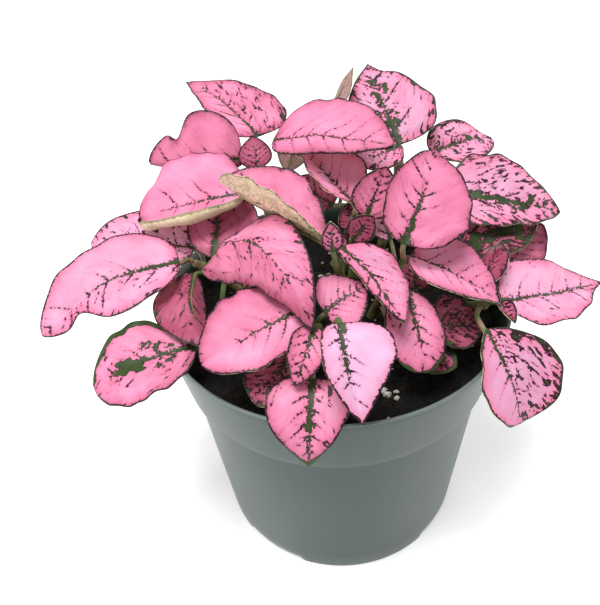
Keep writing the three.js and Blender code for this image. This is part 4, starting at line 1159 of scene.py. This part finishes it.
def underColour(add, on):
    # cream, netted with dull green along the veins; the underside of a leaf of deep tone turns greyish
    # pink, partly its own dullness and partly painted shade
    meshes = add("TexVoronoi", {"Vector": on.blade, "Scale": 0.42}, feature="DISTANCE_TO_EDGE")
    netLine = add("MapRange", {0: meshes, 1: 0.03, 2: 0.14, 3: 1.0, 4: 0.0})
    netAmount = add("MapRange", {0: on.patch, 1: 0.0, 2: 0.4, 3: 0.12, 4: 0.5})
    netted = add("Math", {0: netLine, 1: netAmount}, operation="MULTIPLY")
    cream = add("Mix", {0: on.cloud, 6: "#E9DFB4", 7: "#DDB9AA"}, **mixColours)
    dullAndShaded = add("MapRange", {0: on.tone, 1: 0.66, 2: 0.8, 3: 0.0, 4: 0.85})
    cream = add("Mix", {0: dullAndShaded, 6: cream, 7: "#A0707C"}, **mixColours)
    lower = add("Mix", {0: netted, 6: cream, 7: "#62702E"}, **mixColours)
    ghost = add("Math", {0: on.marked, 1: 0.7}, operation="MULTIPLY")
    return add("Mix", {0: ghost, 6: lower, 7: "#56632F"}, **mixColours)


def laminaMaterial(name):
    # living leaf lamina: thin waxy skin over pink cells that lack green, so it looks satin and soft,
    # with dark green and maroon left where the pigment remains along the veins and the margin
    material, add = newMaterial(name)
    on = bladeField(add)
    markDepths(add, on)
    # the cut edge is cream and maroon in turns
    edgeTurn = add("MapRange", {0: on.dash, 1: 0.42, 2: 0.56})
    colour = add("Mix", {0: edgeTurn, 6: "#5A2A33", 7: "#E2D6A8"}, **mixColours)
    side = add("Attribute", out=2, attribute_name="side")
    isUpper = add("MapRange", {0: side, 1: 0.9, 2: 0.98})
    isLower = add("MapRange", {0: side, 1: 0.1, 2: 0.02})
    for here, skin in ((isUpper, upperColour(add, on)), (isLower, underColour(add, on))):
        colour = add("Mix", {0: here, 6: colour, 7: skin}, **mixColours)

    # cells of about 0.4 mm, just enough to break up the gloss
    cells = add("TexVoronoi", {"Vector": on.blade, "Scale": 2.2})
    bump = add("Bump", {"Strength": 0.25, "Distance": 0.00006, "Height": cells})
    gloss = add("MapRange", {0: on.torn, 3: 0.42, 4: 0.56})
    surface = add("BsdfPrincipled", {
        "Base Color": colour, "Roughness": gloss, "IOR": 1.42, "Specular IOR Level": 0.4,
        "Normal": bump,
    })
    add("OutputMaterial", {0: surface})
    return material


def stalkMaterial(name):
    # soft leaf stalk: green under a pink flush, smooth and a little glossy
    material, add = newMaterial(name)
    place = add("TexCoord", out="Object")
    flush = add("TexNoise", {"Vector": place, "Scale": 260.0, "Detail": 2.0})
    flushed = add("MapRange", {0: flush, 1: 0.4, 2: 0.65})
    colour = add("Mix", {0: flushed, 6: "#56693A", 7: "#94705A"}, **mixColours)
    bump = add("Bump", {"Strength": 0.3, "Distance": 0.0001, "Height": flush})
    surface = add("BsdfPrincipled", {"Base Color": colour, "Roughness": 0.45, "IOR": 1.42, "Normal": bump})
    add("OutputMaterial", {0: surface})
    return material


leafSkins = [laminaMaterial("variegatedLeafLamina"), stalkMaterial("fleshyLeafStalk")]
leafCount = 0
for stem, path in stemPaths.items():
    for place, leaf in enumerate(leaves[stem], 1):
        growLeaf(f"leaf_{stem}_{place}", leaf, path, leafCount, leafSkins)
        leafCount += 1
stemSkin = stemMaterial()
for stem, path in stemPaths.items():
    growStem(stem, path, [leaf["at"] for leaf in leaves[stem]], stemSkin)
print(f"{leafCount} leaves on {len(stemPaths)} stems grown")
